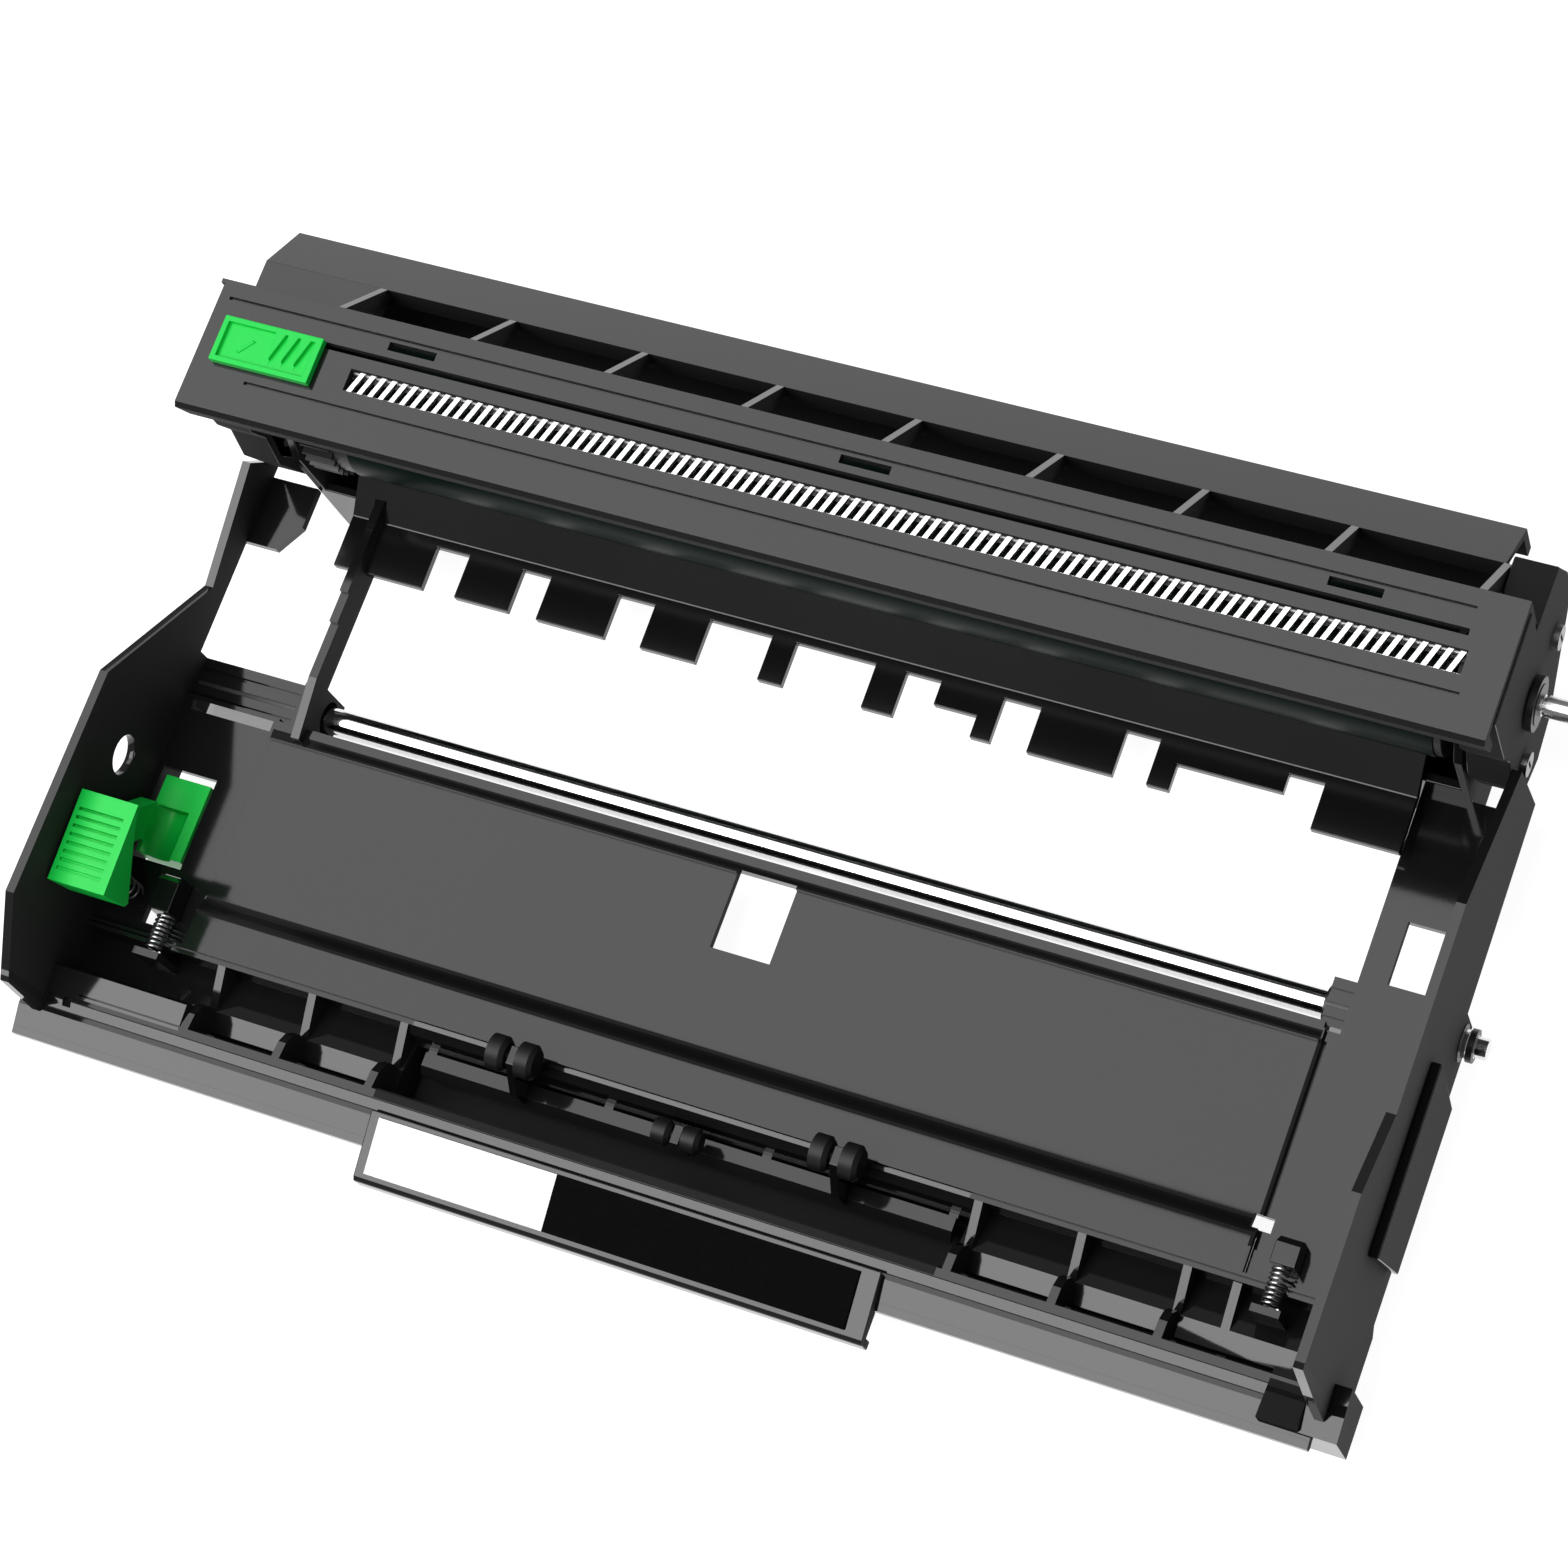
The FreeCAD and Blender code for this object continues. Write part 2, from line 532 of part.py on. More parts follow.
# Tray: upright seats in front of the two push springs
value("push_left_x", "=-wall_in + 18.3", "middle of the left push spring")
value("push_left_y", -49.4, "front face of the left push block")
value("push_right_x", "=wall_in - 15.6", "middle of the right push spring")
value("push_right_y", -51.2, "front face of the right push block")
value("pivot_y", -30, "lever pin, to the rear")
value("pivot_z", 9.5, "lever pin, height")
value("seat_half", 3, "half width of a spring seat")
value("seat_away", 8.8, "distance from a push block to its spring seat")
spring_seats = [box(f"spring_seat_{side}", (f"push_{side}_x - seat_half", f"push_{side}_x + seat_half"),
                    (f"push_{side}_y - seat_away - 1.6",
                     f"push_{side}_y - seat_away"), ("bay_floor - 1", "plate_top + 7"))
                for side in ("left", "right")]
pin_post = box("pin_post", ("-wall_in + 14.9", "-wall_in + 16.9"), ("pivot_y - 3", "pivot_y + 3"),
               ("pivot_z - 4", "plate_top - 1"))

tray = fuse("tray", [left_wall, right_wall, floor, left_plate, right_plate, right_arm, housing_a, housing_b,
                     web, web_foot, gusset, cut("beam_open", fuse("beam_boxed", [beam, middle_box]),
                                                [middle_cut]), middle_strip, cross_bar, corner_block,
                     apron_ends, shoulder, pin_post]
            + bar_ends + beam_ribs + spring_seats)
node(cut("main_frame", tray,
         [wall_hole, floor_window, housing_bore, shoulder_line] + shoulder_teeth + windows + flutes))

# Pull handle along the front, open below, with its label recess
value("handle_left", -62, "left end of the handle")
value("handle_right", 53, "right end of the handle")
value("handle_drop", 5, "depth of the handle's front edge")
handle_shell = profile("handle_shell", "YZ", "handle_left", "handle_right - handle_left", [
    ("apron_step_a - 0.2", "apron_step_b + 2"),
    ("handle_front + 0.8", "19"),
    ("handle_front", "18.2"),
    ("handle_front", "19 - handle_drop"),
    ("handle_front + sheet_thick", "19 - handle_drop"),
    ("handle_front + sheet_thick", "17"),
    ("apron_edge_a", "17"),
    apron_edge, apron_top,
    ("apron_step_a - 0.2", "apron_step_b"),
])
node(handle_shell)
handle_shell.Label = "pull_handle"

# Rear trough under the drum: rest feet, end plates, exit guide
value("trough_left", "=-wall_in + 13", "left end of the trough")
value("trough_right", "=wall_in - 10", "right end of the trough")
trough_u = profile("trough_u", "YZ", "trough_left", "trough_right - trough_left", [
    ("trough_front", "0"),
    corner("trough_rear", "=drum_y + 14", 0, "rear foot of the trough"),
    corner("exit_root", "=drum_y + 15", 24, "root of the exit guide"),
    corner("exit_end", "=drum_y + 28", 29, "rear edge of the exit guide"),
    corner("exit_tip", "=drum_y + 28", 31, "rear tip of the exit guide"),
    corner("exit_start", "=drum_y + 10", 25.6, "front edge of the exit guide"),
    corner("trough_inner", "=drum_y + 12", 2, "inner rear corner of the trough"),
    ("trough_front + sheet_thick", "2"),
    ("trough_front + sheet_thick", "20"),
    ("trough_front", "20"),
])
end_plates = [profile(f"end_plate_{side}", "YZ", start, "sheet_thick", [
    ("trough_front", "0"),
    ("trough_rear_a", "0"),
    ("exit_root_a + 4", "exit_root_b"),
    corner(f"plate_{side}_rear", "=drum_y + 19", 44, "rear upper corner of the end plate"),
    corner(f"plate_{side}_top", "=drum_y + 9", 50, "top of the end plate"),
    corner(f"plate_{side}_front", "=drum_y - 9", 50, "front upper corner of the end plate"),
    ("trough_front", "36"),
]) for side, start in (("left", "trough_left"), ("right", "trough_right - sheet_thick"))]
value("bearing_half", 5, "half width of the transfer bearings")
bearing_slots = box("bearing_slots", ("trough_left - 1", "trough_right + 1"),
                    ("drum_y - bearing_half", "drum_y + bearing_half"), ("10", "27"))
shaft_bore = cylinder("shaft_bore", "x", ("trough_left - 1", "trough_right + 1"), drum_axis,
                      "shaft_radius + 2")
end_set = cut("end_set", fuse("end_pair", end_plates), [bearing_slots, shaft_bore])
node(fuse("rear_trough", [trough_u, end_set]))

# Castellated paper guide in front of the transfer roller
value("guide_left", "=-wall_in + 23.7", "left end of the guide")
value("guide_right", "=wall_in - 19.6", "right end of the guide")
value("guide_front", "=drum_y - 29.9", "front edge of the guide's teeth")
value("notch_depth", "=guide_front + 9.9", "rear end of the notches")
value("guide_low", 20, "height of the guide's front edge")
value("guide_rear", "=drum_y - 9", "rear edge of the guide")
value("guide_high", 26, "height of the guide's rear edge")
guide_plate = profile("guide_plate", "YZ", "guide_left", "guide_right - guide_left", [
    ("guide_front", "guide_low"),
    ("notch_depth + 2", "guide_low + 0.3"),
    ("guide_rear", "guide_high"),
    ("guide_rear", "guide_high - sheet_thick"),
    ("trough_front + sheet_thick", "guide_high - sheet_thick - 1.8"),
    ("trough_front + sheet_thick", "guide_low"),
    ("trough_front", "guide_low"),
    ("trough_front", "guide_high - sheet_thick - 3"),
    ("notch_depth + 2.6", "guide_low + 0.3 - sheet_thick"),
    ("guide_front", "guide_low - sheet_thick"),
])
notch_spans = [(-97.6, -89.6), (-76.6, -69.8), (-53.6, -45), (-32, -17.5), (-11.9, 6.3), (13.3, 21.1),
               (35.2, 43.4), (62.2, 69.6), (97.1, 104.7)]
notches = []
for i, (left, right) in enumerate(notch_spans):
    value(f"notch_{i}_left", left, "left side of a notch")
    value(f"notch_{i}_right", right, "right side of a notch")
    notches.append(box(f"notch_{i}", (f"notch_{i}_left", f"notch_{i}_right"), ("guide_front - 3", "notch_depth"),
                       ("guide_low - 6", "guide_high")))
value("short_right", 30.8, "right side of the short tooth")
value("shallow_left", 74.5, "left side of the wide shallow tooth")
steps = [
    box("step_short", ("notch_5_right - 0.5", "short_right"), ("guide_front - 3", "guide_front + 4.7"),
        ("guide_low - 6", "guide_high")),
    box("step_shallow", ("shallow_left", "notch_8_left + 0.5"), ("guide_front - 3", "guide_front + 5.8"),
        ("guide_low - 6", "guide_high")),
]
value("web_slot", 1.3, "half width of the guide's slot for the tray's web")
web_slot = box("guide_slot", ("web_x - web_slot", "web_x + web_slot"), ("guide_front - 1", "trough_front"),
               ("guide_low - 6", "guide_high"))
node(cut("transfer_guide", guide_plate, notches + steps + [web_slot]))

# Drum cover: top panel, ribbed slit and sloping rear
value("panel_half", "=wall_in - 0.5", "half width of the top panel")
value("panel_top", 70, "top of the panel")
value("panel_front", "=drum_y - 20", "front edge of the panel")
value("panel_rear", "=drum_y + 10", "rear edge of the panel")
panel = profile("panel", "YZ", "-panel_half", "2 * panel_half", [
    ("panel_front", "panel_top - 1"),
    ("panel_front + 1", "panel_top"),
    ("panel_rear", "panel_top"),
    ("panel_rear", "panel_top - 11"),
    ("panel_rear - 1.6", "panel_top - 11"),
    ("panel_rear - 1.6", "panel_top - sheet_thick"),
    ("panel_front + 3", "panel_top - sheet_thick"),
    ("panel_front + 3", "panel_top - 8"),
    ("panel_front + 1.6", "panel_top - 8"),
])
value("slope_front", "=drum_y + 21.4", "front edge of the rear slope")
value("slope_top", 56, "height of that edge")
value("slope_low", 47.5, "height of the rear edge")
value("rear_low", 38, "bottom of the rear wall")
value("cover_left", "=-wall_in - 0.4", "left end of the rear cover")
value("cover_right", "=wall_in - 10.4", "right end of the rear cover")
rear_cover = profile("rear_cover", "YZ", "cover_left", "cover_right - cover_left", [
    ("slope_front", "slope_top"),
    ("cover_rear", "slope_low"),
    ("cover_rear", "rear_low"),
    ("cover_rear - sheet_thick", "rear_low"),
    ("cover_rear - sheet_thick", "slope_low - 1"),
    ("slope_front + 1.4", "slope_top - 3"),
    ("slope_front + 1.4", "slope_top - 8"),
    ("slope_front", "slope_top - 8"),
])
value("slit_left", "=-wall_in + 28.5", "left end of the ribbed slit")
value("slit_right", "=wall_in - 10", "right end of the ribbed slit")
value("slit_bays", 8, "bays of the slit")
value("slit_rib", 1.6, "thickness of a rib in the slit")
value("slit_pitch", "=(slit_right - slit_left) / slit_bays", "spacing of the slit ribs")
slit_ribs = []
for i in range(9):
    slit_ribs.append(profile(f"slit_rib_{i}", "YZ", f"slit_left + slit_pitch * {i} - slit_rib / 2", "slit_rib", [
        ("panel_rear - 0.5", "panel_top"),
        ("panel_rear", "panel_top"),
        ("slope_front", "slope_top"),
        ("slope_front + 0.5", "slope_top - 4"),
        ("panel_rear - 0.5", "panel_top - 8"),
    ]))
left_patch = profile("left_patch", "YZ", "cover_left", "slit_left - cover_left", [
    ("panel_rear - 1", "panel_top"),
    ("panel_rear", "panel_top"),
    ("panel_rear + 3", "slope_top"),
    ("slope_front", "slope_top"),
    ("slope_front", "slope_top - 4"),
    corner("patch_inner", "=drum_y + 14.5", 52, "foot of the patch behind the drum gear"),
    corner("patch_step", "=drum_y + 9", 58, "top of the patch's inner slope"),
])

# Grooves, openings and marks of the top panel
value("grid_left", "=-wall_in + 36", "left end of the grid slot")
value("grid_right", "=wall_in - 9", "right end of the grid slot")
value("grid_front", "=drum_y - 7.6", "front side of the grid slot")
value("grid_rear", "=drum_y - 2.6", "rear side of the grid slot")
value("groove_deep", 0.7, "depth of the panel grooves")
value("rail_y", "=drum_y + 1", "slot that the cleaner's stem runs in")
value("rail_width", 1.4, "width of that slot")
value("tab_left", "=-wall_in + 5", "left end of the cleaner tab")
value("tab_right", "=tab_left + 23.5", "right end of the cleaner tab")
value("tab_front", "=drum_y - 8.8", "front side of the cleaner tab")
value("tab_rear", "=drum_y + 1.6", "rear side of the cleaner tab")
value("groove_wide", 0.7, "width of the panel grooves")
panel_cuts = [
    box("seam_front", ("-panel_half + 13.5", "panel_half - 7.5"), ("panel_front + 8.2", "panel_front + 8.2 + groove_wide"),
        ("panel_top - groove_deep", "panel_top + 1")),
    box("groove_rear", ("-panel_half + 2.5", "panel_half - 9.5"), ("panel_rear - 4.3", "panel_rear - 4.3 + groove_wide"),
        ("panel_top - groove_deep", "panel_top + 1")),
    box("stem_slot", ("tab_left + 8", "slit_right"), ("rail_y - rail_width / 2", "rail_y + rail_width / 2"),
        ("panel_top - 4", "panel_top + 1")),
    box("grid_slot", ("grid_left", "grid_right"), ("grid_front", "grid_rear"),
        ("panel_top - 4", "panel_top + 1")),
]
value("vent_long", 11, "length of a small slot in the panel")
for i, start in enumerate((-101, 1.6, 104)):
    value(f"vent_{i}_left", start, "left end of a small slot")
    panel_cuts.append(box(f"vent_{i}", (f"vent_{i}_left", f"vent_{i}_left + vent_long"),
                          ("panel_rear - 6.7", "panel_rear - 4.8"), ("panel_top - 4", "panel_top + 1")))
cover_joined = fuse("cover_joined", [panel, rear_cover, left_patch] + slit_ribs)
node(cut("drum_cover", cover_joined, panel_cuts))

# End caps of the rear housing
value("cap_wall", 2, "wall thickness of the end caps")
value("cap_depth", 9, "width of the end caps along X")
cap_nose = corner("cap_nose", "=drum_y - 11.2", 18.9, "lower front corner of a cap")
cap_front = corner("cap_front", "=drum_y - 15", 33, "front edge of a cap")
cap_cheek = corner("cap_cheek", "=drum_y - 13.3", 42.7, "front edge above")
cap_brow = corner("cap_brow", "=drum_y - 15", 49, "front edge under the panel")
cap_rear_low = corner("cap_rear_low", "=drum_y + 25.8", 38.8, "rear edge, bottom")
cap_under = corner("cap_under", "=drum_y + 6.1", 18, "underside")
cap_chin = corner("cap_chin", "=drum_y - 2.6", 15.8, "lowest corner")
cap_sides = {
    "left": ("-wall_in", "-wall_in + cap_wall", "slope_top - 4.4",
             corner("cap_left_back", "=drum_y + 17", 51.6, "upper rear corner, left cap"),
             corner("cap_left_rear", "=drum_y + 25.8", 42.5, "rear edge of the left cap, top")),
    "right": ("wall_in - cap_depth", "wall_in - cap_depth - 1", "panel_top - 11 - seat_gap",
              corner("cap_right_back", "=drum_y + 22.7", 57.5, "upper rear corner, right cap"),
              corner("cap_right_rear", "=drum_y + 25.8", 48, "rear edge of the right cap, top")),
}
caps = {}
for side, (start, hollow, step, back, rear) in cap_sides.items():
    solid = profile(f"cap_{side}_solid", "YZ", start, "cap_depth", [
        cap_nose, cap_front, cap_cheek, cap_brow,
        ("cap_brow_a", "panel_top - sheet_thick"),
        ("panel_rear - 1.6", "panel_top - sheet_thick"),
        ("panel_rear - 1.6", step),
        back, rear, cap_rear_low, cap_under, cap_chin,
    ])
    inside = profile(f"cap_{side}_inside", "YZ", hollow, "cap_depth + 1 - cap_wall", [
        ("cap_nose_a + 1.5 * cap_wall", "cap_nose_b + cap_wall"),
        ("cap_front_a + cap_wall", "cap_front_b"),
        ("cap_cheek_a + cap_wall", "cap_cheek_b"),
        ("cap_brow_a + cap_wall", "cap_brow_b"),
        ("cap_brow_a + cap_wall", "panel_top - 2 * sheet_thick"),
        ("panel_rear - 1.6 - cap_wall", "panel_top - 2 * sheet_thick"),
        ("panel_rear - 1.6 - cap_wall", f"{step} - cap_wall"),
        (f"{back[0]} - 1", f"{back[1]} - cap_wall"),
        (f"{rear[0]} - cap_wall", f"{rear[1]} - 0.7"),
        ("cap_rear_low_a - cap_wall", "cap_rear_low_b + 1"),
        ("cap_under_a - 1", "cap_under_b + cap_wall"),
        ("cap_chin_a", "cap_chin_b + cap_wall"),
    ])
    bore = cylinder(f"cap_{side}_bore", "x", (f"{start} - 1", f"{start} + cap_depth + 1"), drum_axis,
                    "shaft_radius + 2")
    caps[side] = node(cut(f"end_cap_{side}", solid, [inside, bore]))

# Drum: tube, gear flange, plain flange, shaft and its bushes
value("drum_left", "=-wall_in + 31", "left end of the drum tube")
value("drum_right", "=wall_in - 15", "right end of the drum tube")
value("drum_wall", 0.9, "wall thickness of the drum tube")
value("axis_gap", "=drum_z - roller_z", "distance of the drum and roller axes")
value("drum_teeth", 38, "teeth of the drum gear")
value("roller_teeth", 18, "teeth of the transfer gear")
value("module_size", "=2 * axis_gap / (drum_teeth + roller_teeth)", "gear module")
drum_skin = cylinder("drum_skin", "x", ("drum_left", "drum_right"), drum_axis, "drum_radius")
drum_core = cylinder("drum_core", "x", ("drum_left - 1", "drum_right + 1"), drum_axis,
                     "drum_radius - drum_wall")
node(cut("drum_tube", drum_skin, [drum_core]))

value("tooth_root", 0.9, "half width of a tooth at its root, in modules")
value("tooth_tip", 0.27, "half width of a tooth at its tip, in modules")
value("gear_left", "=-wall_in + 20", "left face of the gears")
value("gear_width", 7, "width of the gears")
drum_wheel = gear("drum_wheel", "gear_left", "gear_width", "drum_z", "drum_teeth", 38, -90)
value("flange_fit", 0.05, "radial clearance of a flange in the drum tube")
value("spigot_long", 8, "length of a flange's spigot in the drum tube")
drum_spigot = cylinder("drum_spigot", "x", ("gear_left + gear_width - 1", "drum_left + spigot_long"), drum_axis,
                       "drum_radius - drum_wall - flange_fit")
drum_neck = cylinder("drum_neck", "x", ("gear_left + gear_width + 0.3", "drum_left"), drum_axis,
                     "drum_radius - 0.4")
gear_bore = cylinder("gear_bore", "x", ("gear_left - 3", "drum_left + spigot_long + 1"), drum_axis,
                     "shaft_radius + run_gap")
node(cut("drum_gear", fuse("drum_gear_solid", [drum_wheel, drum_neck, drum_spigot]), [gear_bore]))
flange_rim = cylinder("flange_rim", "x", ("drum_right", "drum_right + 1.6"), drum_axis, "drum_radius - 0.4")
flange_spigot = cylinder("flange_spigot", "x", ("drum_right - spigot_long", "drum_right + 1"), drum_axis,
                         "drum_radius - drum_wall - flange_fit")
flange_bore = cylinder("flange_bore", "x", ("drum_right - spigot_long - 1", "drum_right + 3"), drum_axis,
                       "shaft_radius + run_gap")
node(cut("drum_flange", fuse("drum_flange_solid", [flange_rim, flange_spigot]), [flange_bore]))
value("ring_left", "=wall_out + 0.6", "left side of the shaft's ring groove")
value("ring_right", "=ring_left + 0.8", "right side of the shaft's ring groove")
shaft_parts = [
    cylinder("shaft_long", "x", ("-wall_in + cap_wall + 0.5", "ring_left"), drum_axis, "shaft_radius"),
    cylinder("shaft_neck", "x", ("ring_left", "ring_right"), drum_axis, "shaft_radius - 0.4"),
    cylinder("shaft_tip", "x", ("ring_right", "shaft_end"), drum_axis, "shaft_radius"),
]
node(fuse("drum_shaft", shaft_parts))

# Transfer roller: foam sleeve, shaft, gear, bearings and the springs under them
value("roller_left", "=drum_left + 4", "left end of the foam sleeve")
value("roller_right", "=drum_right - 4", "right end of the foam sleeve")
value("core_radius", 3, "radius of the transfer roller's shaft")
sleeve_skin = cylinder("sleeve_skin", "x", ("roller_left", "roller_right"), roller_axis,
                       "roller_radius - seat_gap")
sleeve_core = cylinder("sleeve_core", "x", ("roller_left - 1", "roller_right + 1"), roller_axis,
                       "core_radius")
node(cut("transfer_sleeve", sleeve_skin, [sleeve_core]))
transfer_shaft = node(cylinder("transfer_shaft", "x", ("trough_left - 3", "trough_right + 1"), roller_axis,
                               "core_radius"))
transfer_shaft.setExpression("Placement.Base.x", bound("trough_left - 3 + shift_x"))
transfer_shaft.setExpression("Placement.Base.y", bound("drum_y + shift_y"))
roller_wheel = gear("roller_wheel", "gear_left", "gear_width", "roller_z", "roller_teeth", 18, 100)
wheel_bore = cylinder("wheel_bore", "x", ("gear_left - 1", "gear_left + gear_width + 1"), roller_axis,
                      "core_radius + 0.02")
node(cut("transfer_gear", roller_wheel, [wheel_bore]))


# Bushes of the drum shaft and bearings of the transfer roller
value("bush_skin", 0.02, "clearance of a bush in its bore")
tube("drum_bush_left", ("-wall_in + cap_wall", "gear_left - 0.5"), drum_axis,
     "shaft_radius + 2 - bush_skin", "shaft_radius + 0.02")
right_sleeve = cylinder("right_sleeve", "x", ("drum_right + 2", "wall_in + 2"), drum_axis,
                        "shaft_radius + 2 - bush_skin")
right_collar = cylinder("right_collar", "x", ("wall_in + seat_gap", "wall_in + 1.8"), drum_axis,
                        "shaft_radius + 3.4")
right_hole = cylinder("right_hole", "x", ("drum_right", "wall_in + 4"), drum_axis, "shaft_radius + 0.02")
node(cut("drum_bush_right", fuse("right_bush_solid", [right_sleeve, right_collar]), [right_hole]))
for side, low, high in (("left", "trough_left - 1", "gear_left - 0.5"),
                        ("right", "roller_right + 1.5", "trough_right + 0.5")):
    block = box(f"bearing_{side}_block", (low, high),
                ("drum_y - bearing_half + 0.1", "drum_y + bearing_half - 0.1"), ("12.5", "26.5"))
    hole = cylinder(f"bearing_{side}_hole", "x", (f"{low} - 1", f"{high} + 1"), roller_axis,
                    "core_radius + run_gap")
    node(cut(f"transfer_bearing_{side}", block, [hole]))
value("bearing_wire", 0.35, "wire radius of the bearing springs")
for side, place in (("left", "trough_left + 4.4"), ("right", "roller_right + 4.4")):
    spring = coil(f"bearing_spring_{side}", "z", (place, "drum_y", "2.4"), "9.7", "1.8", "bearing_wire", 5)
    nodes.append(spring)

# Pinch rod with its bushes and collar
rod_bar = cylinder("rod_bar", "x", ("-wall_in + 1", "wall_out + 1.2"), rod_axis, "rod_radius")
rod_seat = cylinder("rod_seat", "x", ("wall_out", "wall_out + 2.9"), rod_axis, "rod_radius - 0.6")
rod_stub = cylinder("rod_stub", "x", ("wall_out + 2.9", "wall_out + 5.3"), rod_axis, "rod_radius - 0.8")
node(fuse("pinch_rod", [rod_bar, rod_seat, rod_stub]))
tube("rod_bush_left", ("-wall_out + 0.4", "housing_left + 0.6"), rod_axis, "bush_radius - bush_skin",
     "rod_radius + run_gap")
tube("rod_bush_right", ("housing_right - 0.6", "wall_out + 0.2"), rod_axis, "bush_radius - bush_skin",
     "rod_radius + run_gap")
tube("rod_collar", ("wall_out + 1.5", "wall_out + 2.8"), rod_axis, "rod_radius + 0.5", "rod_radius - 0.58")

# Charger: steel channel, corona wire, wire holders and the slanted grid in the panel
value("charger_half", "=wall_in - 6", "half length of the charger channel")
value("case_front", "=drum_y - 10.5", "front wall of the channel")
value("case_back", "=case_front + 10.5", "rear wall of the channel")
value("case_low", 58.4, "open underside of the channel")
value("case_high", 65.4, "top of the channel")
value("case_sheet", 0.8, "sheet thickness of the channel")
value("wire_y", "=drum_y - 5.2", "corona wire, to the rear")
value("wire_z", 62, "corona wire, height")
case_half = [
    ("case_front", "case_low"),
    ("case_front", "case_high"),
    ("case_front + 2.9", "case_high"),
    ("case_front + 2.9", "case_high - case_sheet"),
    ("case_front + case_sheet", "case_high - case_sheet"),
    ("case_front + case_sheet", "case_low"),
]
case_other = [(a.replace("case_front", "case_back").replace(" + ", " - "), b) for a, b in case_half]
front_side = profile("case_front_side", "YZ", "-charger_half", "2 * charger_half", case_half)
back_side = profile("case_back_side", "YZ", "-charger_half", "2 * charger_half", case_other)
case_ends = [box(f"case_end_{i}", (f"{x}", f"{x} + case_sheet"), ("case_front", "case_back"), ("case_low", "case_high"))
             for i, x in enumerate(("-charger_half", "charger_half - case_sheet"))]
node(fuse("charger_case", [front_side, back_side] + case_ends))
for side, low in (("left", "-charger_half + case_sheet"), ("right", "charger_half - case_sheet - 4")):
    node(box(f"wire_holder_{side}", (low, f"{low} + 4"),
             ("case_front + case_sheet", "case_back - case_sheet"),
             ("case_low + 0.6", "case_high - case_sheet")))
    nodes[-1].setExpression("Placement.Base.x", bound(f"{low} + shift_x"))
    nodes[-1].setExpression("Placement.Base.y", bound("case_front + case_sheet + shift_y"))
keep(cylinder("corona_wire", "x", ("-charger_half + case_sheet + 4", "charger_half - case_sheet - 4"), ("wire_y", "wire_z"), "0.2"),
     ("-charger_half + case_sheet + 4", "wire_y"))
value("bar_pitch", "=(grid_right - grid_left - 3.5) / 95", "spacing of the slanted bars")
value("bar_width", 1.1, "width of a slanted bar along X")
value("bar_slant", 1.7, "shift of a bar's rear end along X")
value("bar_rim", 0.5, "width of the strips that join the bars")
grid_bars = profile("grid_bars", "XY", "panel_top - 1.7", "1", [
    ("grid_left + 0.4", "grid_front + 0.1"),
    ("grid_left + 0.4 + bar_width", "grid_front + 0.1"),
    ("grid_left + 0.4 + bar_width + bar_slant", "grid_rear - 0.1"),
    ("grid_left + 0.4 + bar_slant", "grid_rear - 0.1"),
])
pattern(grid_bars, grid_bars.Tip, "H_Axis", "bar_pitch * 95", 96)
grid_strips = [box(f"grid_strip_{i}", ("grid_left + 0.1", "grid_right - 0.1"), span, ("panel_top - 2.1", "panel_top - 1.4"))
               for i, span in enumerate((("grid_front + 0.1", "grid_front + bar_rim"),
                                         ("grid_rear - bar_rim", "grid_rear - 0.1")))]
node(fuse("charger_grid", [grid_bars] + grid_strips))

# Wire cleaner: green tab on the panel, stem through the slot, pad round the wire
value("tab_low", 70.1, "underside of the tab")
value("tab_high", 72, "top of the tab's rim")
value("stem_left", "=tab_left + 8", "left side of the stem")
value("stem_right", "=stem_left + 4", "right side of the stem")
tab_base = box("tab_base", ("tab_left", "tab_right"), ("tab_front", "tab_rear"), ("tab_low", "tab_high"))
tab_tray = box("tab_tray", ("tab_left + 1.2", "tab_right - 1.6"), ("tab_front + 1.2", "tab_rear - 1.2"),
               ("tab_high - 1.1", "tab_high + 1"))
tab_grips = [profile(f"tab_grip_{i}", "XY", "tab_high - 1.3", "1.3", [
    (f"tab_left + 12.4 + 3 * {i}", "tab_rear - 1"),
    (f"tab_left + 15 + 3 * {i}", "tab_rear - 1"),
    (f"tab_left + 13.1 + 3 * {i}", "tab_front + 3"),
]) for i in range(3)]
tab_mark = profile("tab_mark", "XY", "tab_high - 1.3", "0.6", [
    ("tab_left + 5", "tab_front + 3.4"),
    ("tab_left + 5.7", "tab_front + 3.1"),
    ("tab_left + 8.4", "tab_front + 6.2"),
    ("tab_left + 7.7", "tab_front + 6.5"),
])
stem = box("stem", ("stem_left", "stem_right"),
           ("rail_y - rail_width / 2 + 0.15", "rail_y + rail_width / 2 - 0.15"),
           ("case_high + 0.5", "tab_low + 0.5"))
stem_arm = box("stem_arm", ("stem_left", "stem_right"), ("wire_y - 1", "rail_y + rail_width / 2 - 0.15"),
               ("case_high + 0.5", "case_high + 2"))
stem_leg = box("stem_leg", ("stem_left", "stem_right"), ("wire_y - 1", "wire_y + 1"),
               ("wire_z + 1", "case_high + 1"))
node(fuse("cleaner_tab",
          [cut("tab_shell", tab_base, [tab_tray]), stem, stem_arm, stem_leg, tab_mark] + tab_grips))
pad_block = box("pad_block", ("stem_left", "stem_right"), ("wire_y - 1.6", "wire_y + 1.6"),
                ("wire_z - 1.2", "wire_z + 1"))
pad_hole = cylinder("pad_hole", "x", ("stem_left - 1", "stem_right + 1"), ("wire_y", "wire_z"), "0.27")
node(cut("cleaner_pad", pad_block, [pad_hole]))

